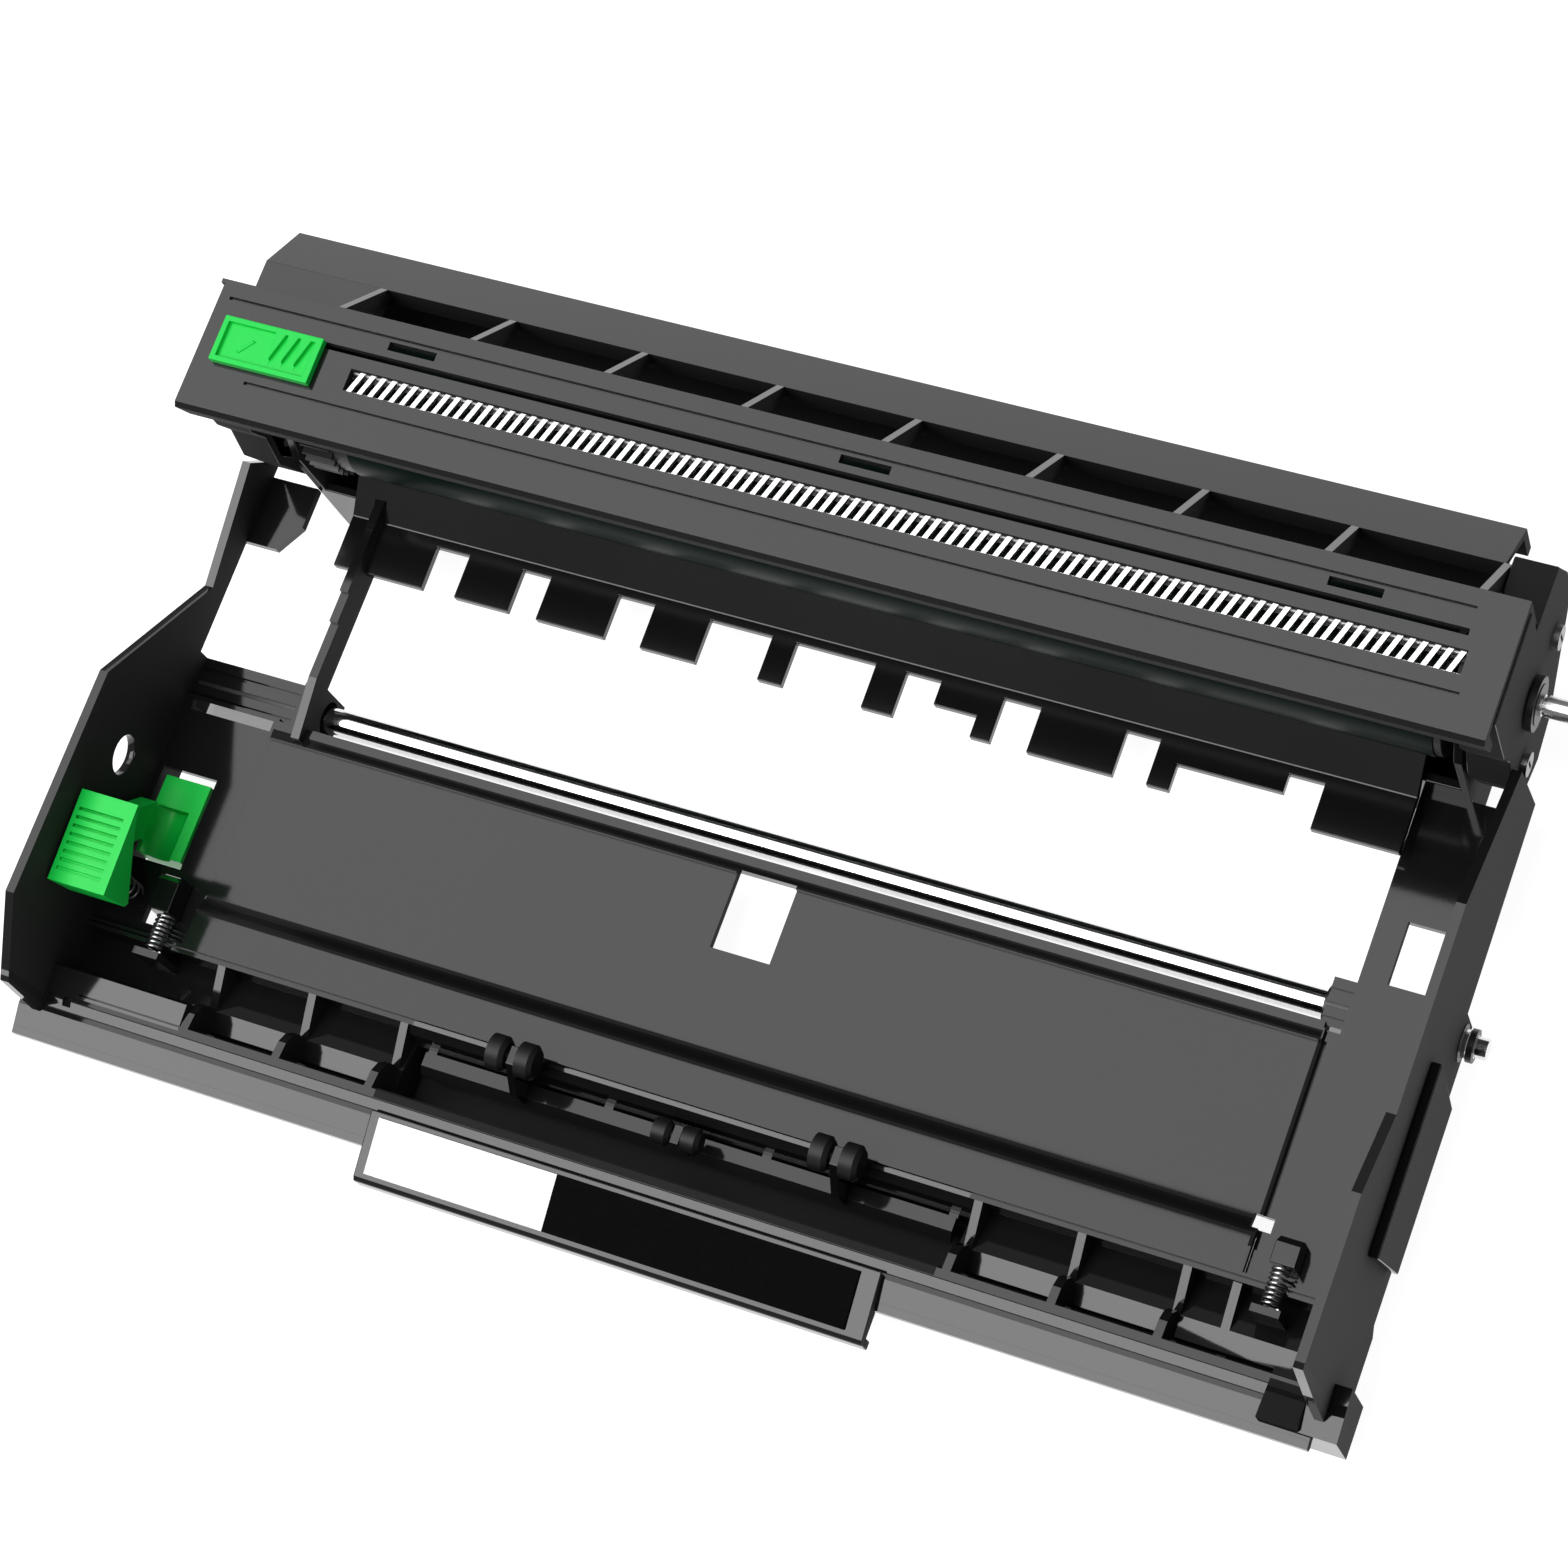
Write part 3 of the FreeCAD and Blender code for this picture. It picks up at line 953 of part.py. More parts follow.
# Green lock lever at the left wall: wedge-shaped thumb pad, arm and hollowed latch
value("lever_left", "=-wall_in + 0.6", "left side of the thumb pad")
value("lever_right", "=-wall_in + 14.4", "right side of the thumb pad")
thumb = profile("thumb", "YZ", "lever_left", "lever_right - lever_left", [
    corner("pad_front", -53.6, 41, "front upper edge of the pad"),
    corner("pad_back", -33.2, 42.2, "rear edge of the pad"),
    corner("pad_waist", -40.6, 37.4, "underside of the pad, rear part"),
    corner("pad_chin", -51.6, 29.5, "lowest edge of the pad"),
    ("pad_chin_a - 1", "pad_chin_b + 1"),
])
value("arm_side", "=-wall_in + 1.9", "left side of the lever arm")
value("arm_width", 4.1, "width of the lever arm")
lever_arm = profile("lever_arm", "YZ", "arm_side", "arm_width", [
    ("pad_waist_a + 2.4", "pad_waist_b + 2.2"),
    ("pivot_y + 3.5", "plate_top + 5"),
    ("pivot_y + 3.5", "pivot_z - 4"),
    ("pivot_y - 4", "pivot_z - 4"),
    ("pivot_y - 5", "plate_top + 5"),
    ("pad_waist_a - 5", "pad_chin_b + 4"),
])
value("latch_front", -37, "front end of the latch")
value("latch_back", -19.1, "rear end of the latch")
value("latch_top", 15, "top of the latch")
value("latch_left", "=-wall_in + 3.3", "left side of the latch")
latch = profile("latch", "YZ", "latch_left", "lever_right - latch_left", [
    ("latch_front", "latch_top"),
    ("latch_back", "latch_top"),
    ("latch_back", "latch_top - 3"),
    ("latch_back - 5", "pivot_z - 4.5"),
    ("latch_front + 1.4", "pivot_z - 4.5"),
    ("latch_front", "latch_top - 7"),
])
value("boss_x", "=-wall_in + 7", "middle of the spring boss")
value("boss_y", -46, "middle of the spring boss, to the rear")
value("boss_half", 2.4, "half width of the spring boss")
boss = box("spring_boss", ("boss_x - boss_half", "boss_x + boss_half"),
           ("boss_y - boss_half", "boss_y + boss_half"), ("30.4", "35"))
scoop = cylinder("latch_scoop", "y", ("latch_front - 1", "latch_front + 11"),
                 ("latch_left + 4.7", "latch_top + 0.6"), "3.9")
value("groove_pitch", 1.9, "spacing of the grip grooves")
grooves = [box(f"groove_{i}", ("lever_left + 1", "lever_right - 2"),
               (f"pad_front_a + 2.6 + groove_pitch * {i}", f"pad_front_a + 3.3 + groove_pitch * {i}"),
               ("pad_front_b - 0.4", "pad_front_b + 3")) for i in range(8)]
value("pin_radius", 1.5, "radius of the lever pin")
lever_bore = cylinder("lever_bore", "x", ("lever_left - 1", "lever_right + 3"), ("pivot_y", "pivot_z"),
                      "pin_radius + run_gap")
node(cut("lock_lever", fuse("lever_solid", [thumb, lever_arm, latch, boss]), [lever_bore, scoop] + grooves))
keep(cylinder("lever_pin", "x", ("-wall_in", "-wall_in + 14.9"), ("pivot_y", "pivot_z"), "pin_radius"),
     ("-wall_in", "pivot_y"))
nodes.append(coil("lever_spring", "z", ("boss_x", "boss_y", "plate_top + 0.4"), "15.2", "1.9", "0.35", 6))

# Push blocks with their springs, which press the cartridge to the rear
value("push_spring_radius", 1.7, "coil radius of the push springs")
value("push_long", 8, "free length of the push springs")
for side, left, right, length in (("left", "-wall_in + 14", "-wall_in + 19.4", "8.4"),
                                  ("right", "wall_in - 18", "wall_in - 12.8", "6")):
    front = f"push_{side}_y"
    blade = profile(f"push_block_{side}", "YZ", left, f"{right} - ({left})", [
        (front, "plate_top + 0.3"),
        (front, "plate_top + 6.6"),
        (f"{front} + {length} - 1.6", "plate_top + 6.8"),
        (f"{front} + {length}", "plate_top + 4"),
        (f"{front} + {length}", "plate_top + 0.3"),
    ])
    node(blade)
    start = (f"push_{side}_x", f"{front} - push_long - 0.4", "plate_top + 4.4")
    nodes.append(coil(f"push_spring_{side}", "y", start, "push_long", "push_spring_radius", "0.3", 8))

# Guide rollers on axles over the beam, with hooked brackets
for name, middle, axle_y, axle_z, radius in (("left", "-36.4", "-57.2", "22.6", "3.8"),
                                             ("middle", "1.6", "-62", "18.4", "2.7"),
                                             ("right", "36.4", "-57.2", "22.6", "3.8")):
    centre = (axle_y, axle_z)
    wheels = []
    for i, (a, b) in enumerate(((-5.2, -1.4), (1.4, 5.2))):
        wheel = cylinder(f"wheel_{name}_{i}", "x", (f"{middle} + {a}", f"{middle} + {b}"), centre, radius)
        rounded = doc.addObject("Part::Chamfer", f"wheel_{name}_{i}_edge")
        rounded.Base = wheel
        rounded.Edges = [(1, 0.9, 0.9), (3, 0.9, 0.9)]
        wheels.append(rounded)
    axle = cylinder(f"axle_{name}", "x", (f"{middle} - 5", f"{middle} + 5"), centre, "1.2")
    node(fuse(f"guide_roller_{name}", wheels + [axle]))
    arm = profile(f"arm_{name}", "YZ", f"{middle} - 1", "2", [
        (f"{axle_y} + 2", f"{axle_z} + 1.6"),
        (f"{axle_y} - 2", f"{axle_z} + 1.6"),
        ("bar_front + 0.4", "bar_top + 4"),
        ("bar_front + 0.4", "bar_top"),
        ("bar_rear", "bar_top"),
        (f"{axle_y} + 2", f"{axle_z} - 2"),
    ])
    eye = cylinder(f"eye_{name}", "x", (f"{middle} - 2", f"{middle} + 2"), centre, "1.2 + run_gap")
    node(cut(f"roller_bracket_{name}", arm, [eye]))

# Label plate on the handle, bare
value("label_left", -59.6, "left end of the label")
value("label_right", 48.8, "right end of the label")
node(profile("label_plate", "YZ", "label_left", "label_right - label_left", [
    ("apron_step_a - 1.4", "22.5"),
    ("handle_front + 1.8", "19.5"),
    ("handle_front + 1.8", "19.9"),
    ("apron_step_a - 1.4", "22.9"),
]))

# Outer guard on the right wall
node(profile("side_guard", "YZ", "wall_out", "2.2", [
    corner("guard_front", -47, 33, "front upper corner of the guard"),
    corner("guard_rear", -7, 33, "rear upper corner of the guard"),
    corner("guard_low", -9, 8, "rear lower corner of the guard"),
    corner("guard_toe", -44, 8, "front lower corner of the guard"),
]))

# Screws of the end caps, one part for all four
screws = []
for side, face, sign in (("left", "-wall_in", -1), ("right", "wall_in", 1)):
    for i, centre in enumerate((("drum_y + 15", "40"), ("drum_y - 8.5", "30"))):
        outer = f"{face} + {sign} * 1.4"
        inner = f"{face} - {sign} * 7"
        low, high = (outer, face) if sign < 0 else (face, outer)
        head = cylinder(f"head_{side}_{i}", "x", (low, high), centre, "2.6")
        low, high = (outer, inner) if sign < 0 else (inner, outer)
        shank = cylinder(f"shank_{side}_{i}", "x", (low, high), centre, "1.3")
        recess = box(f"recess_{side}_{i}", (f"{outer} - 0.7", f"{outer} + 0.7"),
                     (f"{centre[0]} - 0.4", f"{centre[0]} + 0.4"),
                     (f"{centre[1]} - 1.7", f"{centre[1]} + 1.7"))
        screws.append(cut(f"screw_{side}_{i}", fuse(f"screw_{side}_{i}_solid", [head, shank]), [recess]))
screw_set = doc.addObject("Part::Compound", "cap_screws")
screw_set.Links = screws
node(screw_set)

doc.recompute()
faulty = [o.Name for o in doc.Objects if "Invalid" in o.State or "Error" in o.State]
print("faulty:", faulty)
os.makedirs("parts", exist_ok=True)
for piece in nodes:
    shape = piece.Shape
    print(piece.Label, shape.isValid(), len(shape.Solids), round(shape.Volume / 1000, 2), shape.BoundBox)
    shape.exportStep(f"parts/{piece.Label}.step")
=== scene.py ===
# %% [markdown]
# # A printer drum unit in glossy black plastic
# The solids come ready-made from CAD: a tray moulding, a rear housing with the drum and its
# charger, rods, rollers and springs. This lesson dresses them. It rounds their edges so that they
# catch light, gives each part its finish, and sets up a pale studio and a camera.

# %% Load the frame
import json

import bpy
from math import cos, pi, radians, sin
from mathutils import Matrix, Vector


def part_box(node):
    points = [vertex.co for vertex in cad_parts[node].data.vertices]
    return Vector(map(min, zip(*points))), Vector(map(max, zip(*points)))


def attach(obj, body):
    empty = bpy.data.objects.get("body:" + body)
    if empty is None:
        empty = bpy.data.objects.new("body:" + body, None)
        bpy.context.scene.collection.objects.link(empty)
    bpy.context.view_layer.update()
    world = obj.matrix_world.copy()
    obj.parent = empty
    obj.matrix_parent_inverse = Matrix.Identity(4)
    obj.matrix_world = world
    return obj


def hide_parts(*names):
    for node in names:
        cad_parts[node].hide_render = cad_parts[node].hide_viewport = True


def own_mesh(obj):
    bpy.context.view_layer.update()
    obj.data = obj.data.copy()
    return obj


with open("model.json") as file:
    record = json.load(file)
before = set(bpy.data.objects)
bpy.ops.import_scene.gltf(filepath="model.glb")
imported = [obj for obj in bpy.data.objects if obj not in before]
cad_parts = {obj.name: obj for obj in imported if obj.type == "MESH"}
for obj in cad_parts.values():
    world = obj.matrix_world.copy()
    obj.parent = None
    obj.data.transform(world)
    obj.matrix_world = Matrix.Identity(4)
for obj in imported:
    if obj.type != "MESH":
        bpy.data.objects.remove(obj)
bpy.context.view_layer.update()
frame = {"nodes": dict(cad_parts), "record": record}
MM = 0.001

# %% [markdown]
# ## Shader maths
# A finish is a small calculation: noise times an amount, plus a base value. Wrapping a socket in a
# class lets that be written as ordinary Python. Each operator adds one Math node. Everything else,
# such as noise and colour mixes, goes through one method that sets up any node.

# %% A socket that can be calculated with


class Signal:
    """One output socket of a material's node tree."""

    def __init__(self, tree, socket=None):
        self.tree = tree
        self.socket = socket

    def node(self, kind, settings=None, sockets=None, out=0):
        """Make a node, set it up, feed its sockets, and give back one of its outputs."""
        made = self.tree.nodes.new(kind)
        for key, choice in (settings or {}).items():
            setattr(made, key, choice)
        for key, fed in (sockets or {}).items():
            if isinstance(fed, Signal):
                self.tree.links.new(fed.socket, made.inputs[key])
            else:
                made.inputs[key].default_value = fed
        return Signal(self.tree, made.outputs[out])

    def maths(self, operation, first, second):
        return self.node("ShaderNodeMath", {"operation": operation}, {0: first, 1: second})

    def __add__(self, other):
        return self.maths("ADD", self, other)

    __radd__ = __add__

    def __mul__(self, other):
        return self.maths("MULTIPLY", self, other)

    __rmul__ = __mul__

    def __sub__(self, other):
        return self.maths("SUBTRACT", self, other)

    def __rsub__(self, other):
        return self.maths("SUBTRACT", other, self)

    def over(self, limit):
        """1 where the signal is above the limit, else 0."""
        return self.maths("GREATER_THAN", self, limit)

    def mix(self, low, high):
        """A colour from low to high as the signal goes from 0 to 1."""
        low, high = ((*end, 1) if isinstance(end, tuple) else end for end in (low, high))
        return self.node("ShaderNodeMix", {"data_type": "RGBA"}, {0: self, 6: low, 7: high}, out=2)


print("signals can be added, subtracted, multiplied, compared and mixed")

# %% [markdown]
# ## Places and noise
# Every CAD mesh keeps its vertices in the shared frame, so Object coordinates are real places in
# metres. Noise on them doesn't slide when a part moves and needs no unwrapping.

# %% Coordinates, noise and bumps


def start(name):
    """A new material with its shader node, and the place on the part as a signal."""
    material = bpy.data.materials.new(name)
    material.use_nodes = True
    tree = material.node_tree
    shader = tree.nodes["Principled BSDF"]
    place = Signal(tree).node("ShaderNodeTexCoord", out=3)
    return material, shader, place


def noise(place, size, detail=3.0, stretch=(1, 1, 1)):
    """Soft noise from 0 to 1 whose grains are about size metres across."""
    scaled = place.node("ShaderNodeVectorMath", {"operation": "MULTIPLY"}, {0: place, 1: stretch})
    return place.node(
        "ShaderNodeTexNoise", {}, {"Vector": scaled, "Scale": 1 / size, "Detail": detail})


def feed(place, shader, name, fed):
    """Link a signal to one of the shader's sockets, or set a plain number there."""
    if isinstance(fed, Signal):
        place.tree.links.new(fed.socket, shader.inputs[name])
    else:
        shader.inputs[name].default_value = fed


def bump(place, shader, height, depth, strength=1.0):
    """Relief in the shading alone, with its depth in metres."""
    normal = place.node(
        "ShaderNodeBump", {}, {"Height": height, "Distance": depth, "Strength": strength})
    feed(place, shader, "Normal", normal)


print("helpers ready: start, noise, feed, bump")

# %% [markdown]
# ## Where a finish applies
# The black moulding isn't equally glossy all over. A few comparisons on the place, and on the way
# that a face looks, pick out its areas. Each gives 1 inside its area and 0 outside, so it can be
# multiplied with whatever belongs there.

# %% Areas of a part
FACING = 0.9
MIDDLE_X = -3.25 * MM


def along(place, axis):
    """How far along one axis the place is, in metres."""
    return place.node("ShaderNodeSeparateXYZ", {}, {0: place}, out="XYZ".index(axis))


def between(signal, low, high):
    """1 where the signal lies between the two limits, else 0."""
    return signal.over(low) - signal.over(high)


def sideways(place):
    """1 on faces that look to the left or right, else 0."""
    facing = place.node("ShaderNodeTexCoord", out=1)
    return 1 - between(along(facing, "X"), -FACING, FACING)


def frontwards(place):
    """1 on upright faces that look to the front, else 0."""
    facing = place.node("ShaderNodeTexCoord", out=1)
    return 1 - along(facing, "Y").over(-FACING)


def within(place, reach):
    """1 up to this far from the middle, left and right, else 0."""
    return between(along(place, "X"), MIDDLE_X - reach, MIDDLE_X + reach)


print("a face counts as sideways or frontwards from", FACING, "of its normal")

# %% [markdown]
# ## Moulded plastic
# Toner parts are moulded in black ABS or polystyrene. The colour is close to ink black, and the
# shape reads from what the gloss mirrors. Two noises vary it: a large one moves the colour and
# gloss a little over the part, a fine one is the mould's grain. Textured areas are made rough,
# and their colour is mixed towards near black as painted shade, because a glossy upright face
# would mirror the white floor.

# %% One recipe for every plastic
BLOTCH = 0.035
GRAIN = 0.0006
GRAIN_DEPTH = 0.0000014
GRAIN_GLOSS = 0.02
# How strongly textured areas are roughened and painted near black as shade
TEXTURE_AND_SHADE = 0.8
# The near black painted into textured areas as shade
PAINTED_SHADE_BLACK = (0.003, 0.003, 0.003)


def plastic(name, dark, light, rough, spread=0.08, shine=0.5, textured_shaded=None, relief=None):
    """Moulded plastic: colour and gloss vary a little, with a fine grain."""
    material, shader, place = start(name)
    blotch = noise(place, BLOTCH)
    grain = noise(place, GRAIN, detail=2.0)
    gloss = blotch * spread + (grain * GRAIN_GLOSS + (rough - spread / 2))
    shade = blotch.mix(dark, light)
    # Textured areas get more roughness, and their colour is mixed towards near black as painted
    # shade
    if textured_shaded:
        dull_and_shade = textured_shaded(place)
        gloss = dull_and_shade + gloss
        shade = dull_and_shade.mix(shade, PAINTED_SHADE_BLACK)
    height = grain * GRAIN_DEPTH
    if relief:
        height = height + relief(place)
    feed(place, shader, "Base Color", shade)
    feed(place, shader, "Roughness", gloss)
    feed(place, shader, "Specular IOR Level", shine)
    bump(place, shader, height, 1.0)
    return material


print("plastic recipe ready, with a grain of", round(GRAIN / MM, 2), "mm")

# %% [markdown]
# ## The soft fold across the tray
# The tray's floor drops a little behind the beam. The mould blends that fold over about a
# centimetre, so the gloss turns black there with soft edges. The solid has a shorter fold, and a
# smooth rise in the bump's height widens it. The rims of the floor, a groove at its right and the
# tilt of the beam's steep face are bump too. Bump is quick, but it is only shading: the meshes
# don't have these shapes, so cutting them into the solid would be better.

# %% Relief of the tray
FLOOR_TOP = 17.2 * MM
FLOOR_REACH = 119.5 * MM
FOLD_Y = -47.7 * MM
FOLD_WIDTH = 7.6 * MM
FOLD_GROWS = 0.015
FOLD_SLOPE = 0.16
GROOVE_X = 116.6 * MM
GROOVE_HALF = 0.8 * MM
GROOVE_DEPTH = 0.22 * MM
GROOVE_ENDS = (-52 * MM, -8 * MM)
BEAM_TOP = 19 * MM
BEAM_REACH = 63 * MM
# Each rise: its front, its rear, and the height at its front
REAR_STEP = (-8.6 * MM, -6.0 * MM, 0.55 * MM)
FRONT_LIP = (-59.4 * MM, -57.9 * MM, -0.35 * MM)
BEAM_SLOPE = (-79.6 * MM, -77.1 * MM, 0.62 * MM)


def rise(signal, curve, front, rear, height):
    """A smooth rise that has its full height at the front and ends at the rear."""
    return signal.node("ShaderNodeMapRange", {"interpolation_type": curve}, {
        "Value": signal, "From Min": front, "From Max": rear, "To Min": height, "To Max": 0.0})


def fold_place(place):
    """Where the place lies in the fold, from -0.5 in front to 0.5 behind, and the fold's width."""
    width = along(place, "X") * FOLD_GROWS + FOLD_WIDTH
    return place.maths("DIVIDE", along(place, "Y") - FOLD_Y, width), width


def groove(place):
    """Height of the V groove beside the floor, taken from the surface."""
    x = along(place, "X")
    aside = x.maths("ABSOLUTE", x - GROOVE_X, 0.0)
    depth = x.maths("MAXIMUM", GROOVE_HALF - aside, 0.0) * (GROOVE_DEPTH / GROOVE_HALF)
    return depth * between(along(place, "Y"), *GROOVE_ENDS)


def tray_relief(place):
    """Height of the fold, the floor's rims, the groove and the beam's slope."""
    y = along(place, "Y")
    z = along(place, "Z")
    lie, width = fold_place(place)
    fold = rise(lie, "SMOOTHERSTEP", -0.5, 0.5, FOLD_SLOPE) * width
    floor_parts = (fold + rise(y, "SMOOTHSTEP", *REAR_STEP)) * within(place, FLOOR_REACH)
    lip = rise(y, "SMOOTHSTEP", *FRONT_LIP) * within(place, BEAM_REACH)
    low_parts = (floor_parts - groove(place) + lip) * (1 - z.over(FLOOR_TOP))
    return rise(y, "SMOOTHSTEP", *BEAM_SLOPE) * z.over(BEAM_TOP) + low_parts


widest_fold = FOLD_WIDTH + FOLD_GROWS * FLOOR_REACH
print("fold relief up to", round(FOLD_SLOPE * widest_fold / MM, 2), "mm")

# %% [markdown]
# ## Textured areas with painted shade
# On the tray the side faces, the plateau and trough of the beam and all that lies low at the rear
# are dull, and painted near black as shade. So are the cover's side and front faces. These areas
# were chosen to match the photograph. The fold is a little duller than the floor, most in its
# middle, and by the same amount its colour is darkened there as painted shade.

# %% Textured and painted-shade areas of the tray and the cover
PLATEAU = (-77.1 * MM, -73.7 * MM)
TROUGH = (-74 * MM, -58 * MM)
TROUGH_FLOOR = 3 * MM
REAR_WELL = 70 * MM
WELL_TOP = 40 * MM
# Extra roughness in the fold; through the same mask it also darkens the fold's colour as painted
# shade
FOLD_DULL_AND_SHADE = 0.14
FOLD_FADE = 3.0


def tray_texture_and_shade(place):
    """Extra roughness of the tray's matte areas, and a little in the fold; the same amount mixes
    their colour towards near black as painted shade.
    """
    y = along(place, "Y")
    z = along(place, "Z")
    trough = between(y, *TROUGH) * (1 - z.over(TROUGH_FLOOR))
    beam = (between(y, *PLATEAU) * z.over(BEAM_TOP) + trough) * within(place, BEAM_REACH)
    well = y.over(REAR_WELL) * (1 - z.over(WELL_TOP))
    lie, _ = fold_place(place)
    blur = 1 - lie * lie * FOLD_FADE
    on_floor = (1 - z.over(FLOOR_TOP)) * within(place, FLOOR_REACH)
    soft = blur.over(0.0) * blur * FOLD_DULL_AND_SHADE * on_floor
    return (sideways(place) + (beam + well)) * TEXTURE_AND_SHADE + soft


def side_texture_and_shade(place):
    """Extra roughness on the faces that look to the sides or the front; the same amount mixes
    their colour towards near black as painted shade.
    """
    return (sideways(place) + frontwards(place)) * TEXTURE_AND_SHADE


print("textured areas add", TEXTURE_AND_SHADE, "to the roughness, the fold up to", FOLD_DULL_AND_SHADE)

# %% [markdown]
# ## The plastics
# The tray and the cover are nearly the same black, and the guide is darker still. Rollers, bushes
# and gears are duller. The two parts that a user grips are bright green.

# %% Plastics of the unit
FRAME_BLACK = plastic(
    "frame_plastic", (0.006, 0.006, 0.0065), (0.009, 0.009, 0.0098), 0.07,
    spread=0.02, textured_shaded=tray_texture_and_shade, relief=tray_relief)
COVER_BLACK = plastic(
    "cover_plastic", (0.006, 0.006, 0.0066), (0.009, 0.009, 0.0098), 0.1,
    spread=0.02, textured_shaded=side_texture_and_shade)
GUIDE_BLACK = plastic(
    "guide_plastic", (0.004, 0.004, 0.0045), (0.006, 0.006, 0.0065), 0.12, spread=0.03)
ROLLER_GREY = plastic(
    "roller_plastic", (0.006, 0.006, 0.0065), (0.01, 0.01, 0.011), 0.45, shine=0.3)
BUSH_BLACK = plastic("bush_plastic", (0.006, 0.006, 0.006), (0.01, 0.01, 0.01), 0.35)
GEAR_BLACK = plastic("gear_plastic", (0.012, 0.012, 0.012), (0.02, 0.02, 0.02), 0.4)
GREEN = plastic("green_plastic", (0.004, 0.56, 0.06), (0.008, 0.66, 0.075), 0.3, shine=0.3)
print("plastics made")

# %% [markdown]
# ## Drum coating and foam
# The drum's coating is a thin dark film with a green tint. In the photograph it stays dark beside
# the glossy panel, so it mirrors little and is only half smooth. Foam rubber has open pores, made
# with a deeper bump.

# %% Coating and foam
FILM_GLOSS = 0.3
FILM_SHINE = 0.06
PORES_PER_METRE = 1800.0
PORE_DEPTH = 0.0002


def drum_film():
    """The light-sensitive coating, dark with a green tint."""
    material, shader, place = start("drum_coating")
    tint = noise(place, 0.05)
    feed(place, shader, "Base Color", tint.mix((0.003, 0.009, 0.006), (0.005, 0.013, 0.009)))
    feed(place, shader, "Roughness", tint * 0.05 + FILM_GLOSS)
    feed(place, shader, "Specular IOR Level", FILM_SHINE)
    return material


def foam():
    """Dark foam rubber with open pores."""
    material, shader, place = start("foam_rubber")
    pores = place.node(
        "ShaderNodeTexVoronoi", {}, {"Vector": place, "Scale": PORES_PER_METRE})
    feed(place, shader, "Base Color", pores.mix((0.01, 0.01, 0.01), (0.035, 0.035, 0.035)))
    feed(place, shader, "Roughness", pores * 0.1 + 0.8)
    bump(place, shader, pores, PORE_DEPTH, 0.6)
    return material


DRUM_FILM = drum_film()
FOAM = foam()
print("coating and foam made")

# %% [markdown]
# ## Metals
# Ground rods have fine lines round them, so the noise is squeezed along X. Spring and sheet steel
# are duller. One recipe makes them all from a colour and a roughness.

# %% Metals
DARK_LINES = 0.8
LINE_GLOSS = 0.1
ROUND_THE_ROD = (3, 1, 1)


def metal(name, colour, rough, stretch=(1, 1, 1), grain_size=0.0008, depth=0.00001):
    """Bare metal with fine working lines; stretch squeezes the noise across them."""
    material, shader, place = start(name)
    lines = noise(place, grain_size, 2.0, stretch)
    darker = tuple(DARK_LINES * part for part in colour)
    feed(place, shader, "Base Color", lines.mix(darker, colour))
    feed(place, shader, "Metallic", 1.0)
    feed(place, shader, "Roughness", lines * LINE_GLOSS + (rough - LINE_GLOSS / 2))
    bump(place, shader, lines, depth, 0.3)
    return material


ROD_CHROME = metal("rod_chrome", (0.86, 0.86, 0.87), 0.1, ROUND_THE_ROD, grain_size=0.002)
SHAFT_STEEL = metal("shaft_steel", (0.72, 0.72, 0.73), 0.2, ROUND_THE_ROD)
SPRING_STEEL = metal("spring_steel", (0.66, 0.66, 0.67), 0.25)
# Near-black spring steel: painted shade, so that the spring it is given to reads as lying in
# shadow
SPRING_PAINTED_SHADE = metal("spring_black", (0.12, 0.12, 0.12), 0.35)
SHEET_STEEL = metal("sheet_steel", (0.9, 0.9, 0.9), 0.3)
WIRE_METAL = metal("wire_metal", (0.55, 0.53, 0.5), 0.3)
SCREW_STEEL = metal("screw_steel", (0.35, 0.35, 0.36), 0.35)
print("metals made")

# %% [markdown]
# ## The bare label
# The label on the handle is a printed film: its left part is white and the rest black. It carries
# no words here. One comparison on the X place splits it, and the two inks differ in gloss.

# %% Label film
LABEL_SPLIT = 0.38
LABEL_FIBRE = 0.0015
LABEL_SHINE = 0.01


def label_film():
    """White film on the left, black ink on the right."""
    material, shader, place = start("label_film")
    low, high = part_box("label_plate")
    inked = along(place, "X").over(low.x + LABEL_SPLIT * (high.x - low.x))
    fibre = noise(place, LABEL_FIBRE)
    white = fibre.mix((0.84, 0.84, 0.84), (0.9, 0.9, 0.9))
    black = fibre.mix((0.002, 0.002, 0.002), (0.004, 0.004, 0.004))
    feed(place, shader, "Base Color", inked.mix(white, black))
    feed(place, shader, "Roughness", fibre * 0.05 + (inked * -0.05 + 0.6))
    feed(place, shader, "Specular IOR Level", LABEL_SHINE)
    return material


LABEL = label_film()
print("label film made, white over", LABEL_SPLIT, "of its length")

# %% [markdown]
# ## Hand out the finishes
# The record names a material slot for each CAD node. A dictionary from slot to finish is all that
# is needed; the nodes themselves stay where CAD put them.

# %% Assign materials
FINISHES = {
    "frame_plastic": FRAME_BLACK,
    "cover_plastic": COVER_BLACK,
    "guide_plastic": GUIDE_BLACK,
    "roller_plastic": ROLLER_GREY,
    "bush_plastic": BUSH_BLACK,
    "gear_plastic": GEAR_BLACK,
    "green_plastic": GREEN,
    "drum_coating": DRUM_FILM,
    "foam_rubber": FOAM,
    "rod_chrome": ROD_CHROME,
    "shaft_steel": SHAFT_STEEL,
    "spring_steel": SPRING_STEEL,
    "spring_black": SPRING_PAINTED_SHADE,
    "sheet_steel": SHEET_STEEL,
    "wire_metal": WIRE_METAL,
    "screw_steel": SCREW_STEEL,
    "label_film": LABEL,
}
slot_of = {part["node"]: part["material_slot"] for part in frame["record"]["subparts"]}
for name, part in frame["nodes"].items():
    part.data.materials.clear()
    part.data.materials.append(FINISHES[slot_of[name]])
print("finishes used:", len(set(slot_of.values())))
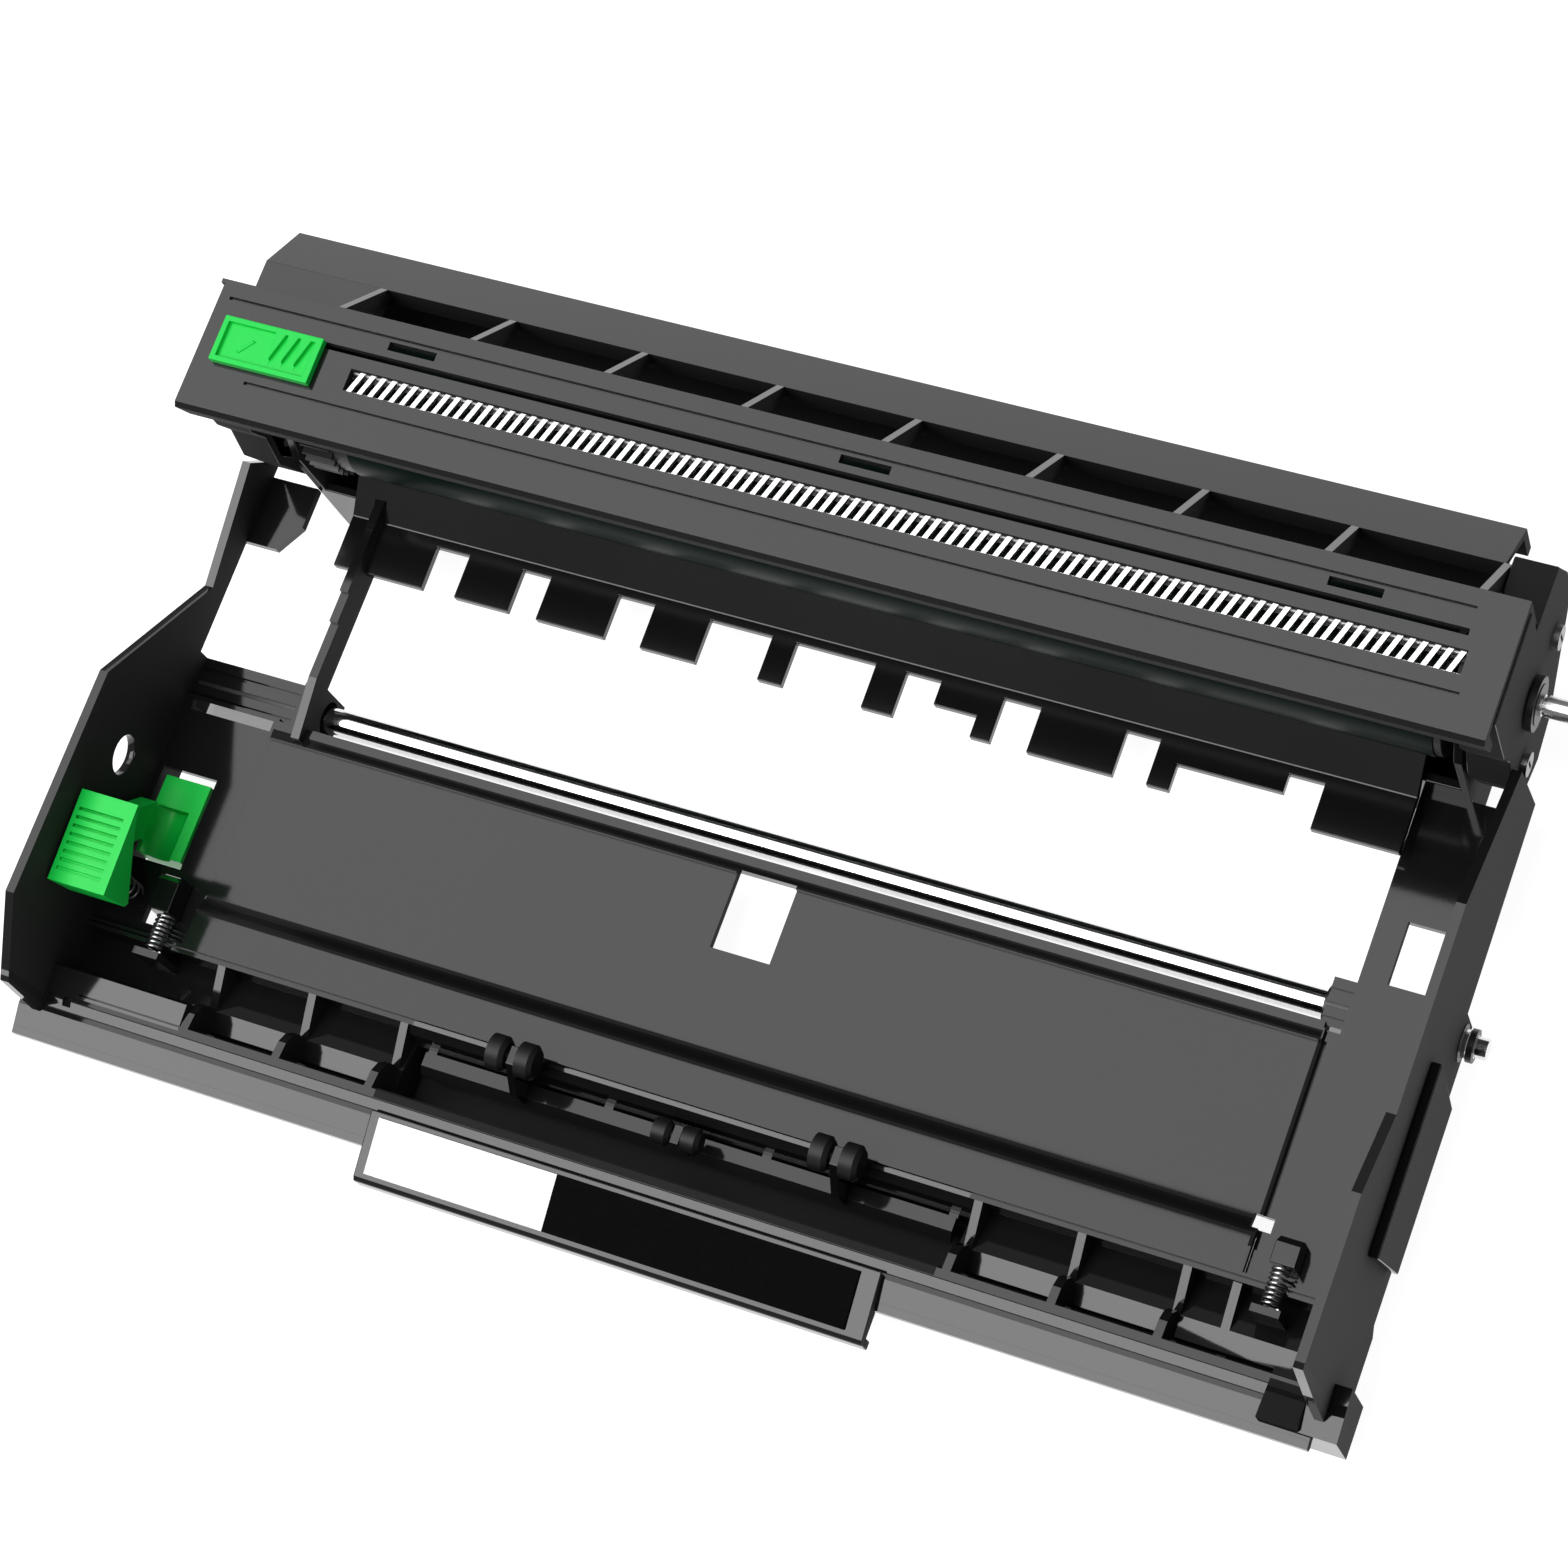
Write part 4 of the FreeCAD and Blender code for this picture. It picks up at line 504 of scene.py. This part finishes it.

# %% [markdown]
# ## Spring copies
# Three coil springs are pressed by the push blocks and the lever. A rigid solid would be cut
# through by the piece that presses it. A copy of each coil, with a mesh of its own, stands for the
# CAD one, which is hidden, and is fixed to the frame at its seat. The copies stay rigid and don't
# shorten, and the lever's stays upright, where a real one would lean.


def giving_coil(node):
    """A copy of a CAD coil with a mesh of its own, fixed to the frame in place of the hidden CAD
    coil.
    """
    coil = bpy.data.objects.new(node + "_coil", frame["nodes"][node].data.copy())
    bpy.context.scene.collection.objects.link(coil)
    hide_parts(node)
    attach(coil, "frame")
    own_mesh(coil)


giving_coil("push_spring_left")
giving_coil("push_spring_right")
giving_coil("lever_spring")

# %% [markdown]
# ## Rounded edges
# No moulded edge is a knife edge. The CAD faces arrive as triangles, unjoined at their edges. So a
# Weld joins them, a planar Decimate makes one face of each flat, and a narrow Bevel rounds the
# edges. Without the middle step the bevel leaves fine lines on the flats. It is kept narrow so
# that thin ribs aren't swallowed.

# %% Bevel the CAD parts
EDGE_ROUND = {
    "frame_plastic": 0.3,
    "cover_plastic": 0.3,
    "guide_plastic": 0.2,
    "green_plastic": 0.25,
    "label_film": 0.05,
}
WELD_REACH = 0.002 * MM
FLAT_ANGLE = radians(28)
PLANE_ANGLE = radians(0.4)
bevelled = 0
for name, part in frame["nodes"].items():
    width = EDGE_ROUND.get(slot_of[name])
    if width is None:
        continue
    weld = part.modifiers.new("join", "WELD")
    weld.merge_threshold = WELD_REACH
    flat = part.modifiers.new("flat", "DECIMATE")
    flat.decimate_type = "DISSOLVE"
    flat.angle_limit = PLANE_ANGLE
    rounding = part.modifiers.new("round", "BEVEL")
    rounding.width = width * MM
    rounding.segments = 2
    rounding.limit_method = "ANGLE"
    rounding.angle_limit = FLAT_ANGLE
    rounding.harden_normals = True
    rounding.use_clamp_overlap = True
    bevelled += 1
print("parts bevelled:", bevelled)

# %% [markdown]
# ## Studio
# The object stands on a plain pale floor, which glows so that it is white in the picture. A wide
# lamp in front on the left gives the bright sloping fronts and the shadows to the right of each
# rib; a softer one above lights the tops.

# %% Floor
FLOOR_SIZE = 6.0
FLOOR_DROP = 0.0002
FLOOR_GLOW = 0.94
bpy.ops.mesh.primitive_plane_add(size=FLOOR_SIZE, location=(0, 0, -FLOOR_DROP))
floor = bpy.context.object
floor.name = "studio_floor"
floor_finish, floor_shader, floor_place = start("pale_floor")
floor_tone = noise(floor_place, 0.4)
floor_grey = floor_tone.mix((0.28, 0.28, 0.28), (0.3, 0.3, 0.3))
floor_white = floor_tone.mix((0.98, 0.98, 0.98), (1.0, 1.0, 1.0))
feed(floor_place, floor_shader, "Base Color", floor_grey)
feed(floor_place, floor_shader, "Roughness", floor_tone * 0.05 + 0.7)
feed(floor_place, floor_shader, "Emission Color", floor_white)
feed(floor_place, floor_shader, "Emission Strength", FLOOR_GLOW)
floor.data.materials.append(floor_finish)
print("floor", FLOOR_SIZE, "m wide")

# %% Lamps and world
LAMP_HEIGHT = 1.4
OVERHEAD_PLACE = (-0.5, 0.36, LAMP_HEIGHT)
OVERHEAD_SIZE = (1.3, 0.72)
OVERHEAD_GLOW = 2.25
FRONT_PLACE = (-0.5, -0.6, LAMP_HEIGHT)
FRONT_SIZE = (1.3, 1.16)
FRONT_GLOW = 5.2
WORLD_GLOW = 0.25


def softbox(name, place, size, radiance):
    """A level rectangular lamp over the unit, with the brightness of its face given."""
    width, depth = size
    light = bpy.data.lights.new(name, "AREA")
    light.shape = "RECTANGLE"
    light.size = width
    light.size_y = depth
    light.energy = radiance * pi * width * depth
    made = bpy.data.objects.new(name, light)
    made.location = place
    bpy.context.scene.collection.objects.link(made)
    print(name, "gives", round(light.energy, 2), "W")


softbox("overhead_box", OVERHEAD_PLACE, OVERHEAD_SIZE, OVERHEAD_GLOW)
softbox("front_box", FRONT_PLACE, FRONT_SIZE, FRONT_GLOW)

world = bpy.data.worlds.new("studio")
bpy.context.scene.world = world
world.use_nodes = True
world_light = world.node_tree.nodes["Background"]
world_light.inputs["Color"].default_value = (1, 1, 1, 1)
world_light.inputs["Strength"].default_value = WORLD_GLOW

# %% [markdown]
# ## Camera
# The photograph looks down steeply from the front right, with the camera rolled so that the unit
# runs from upper left to lower right. The place, direction, roll and lens below give its picture.

# %% Camera
CAMERA_PLACE = Vector((286.37, -200.77, 815.12)) * MM
CAMERA_AZIMUTH = radians(54.085)
CAMERA_HEIGHT = radians(65.53)
CAMERA_ROLL = radians(-35.89)
LENS = 96.74
SENSOR = 36
back = Vector((
    sin(CAMERA_AZIMUTH) * cos(CAMERA_HEIGHT),
    -cos(CAMERA_AZIMUTH) * cos(CAMERA_HEIGHT),
    sin(CAMERA_HEIGHT),
))
level = Vector((cos(CAMERA_AZIMUTH), sin(CAMERA_AZIMUTH), 0))
upright = back.cross(level)
right = cos(CAMERA_ROLL) * level + sin(CAMERA_ROLL) * upright
up = cos(CAMERA_ROLL) * upright - sin(CAMERA_ROLL) * level
turn = Matrix((right, up, back)).transposed().to_4x4()
lens = bpy.data.cameras.new("photo_camera")
lens.lens = LENS
lens.sensor_width = SENSOR
lens.clip_start = 0.01
lens.clip_end = 50
camera = bpy.data.objects.new("photo_camera", lens)
camera.matrix_world = Matrix.Translation(CAMERA_PLACE) @ turn
bpy.context.scene.collection.objects.link(camera)
bpy.context.scene.camera = camera
bpy.context.scene.view_settings.view_transform = "Standard"
print("camera with a lens of", LENS, "mm at", [round(v, 3) for v in CAMERA_PLACE])
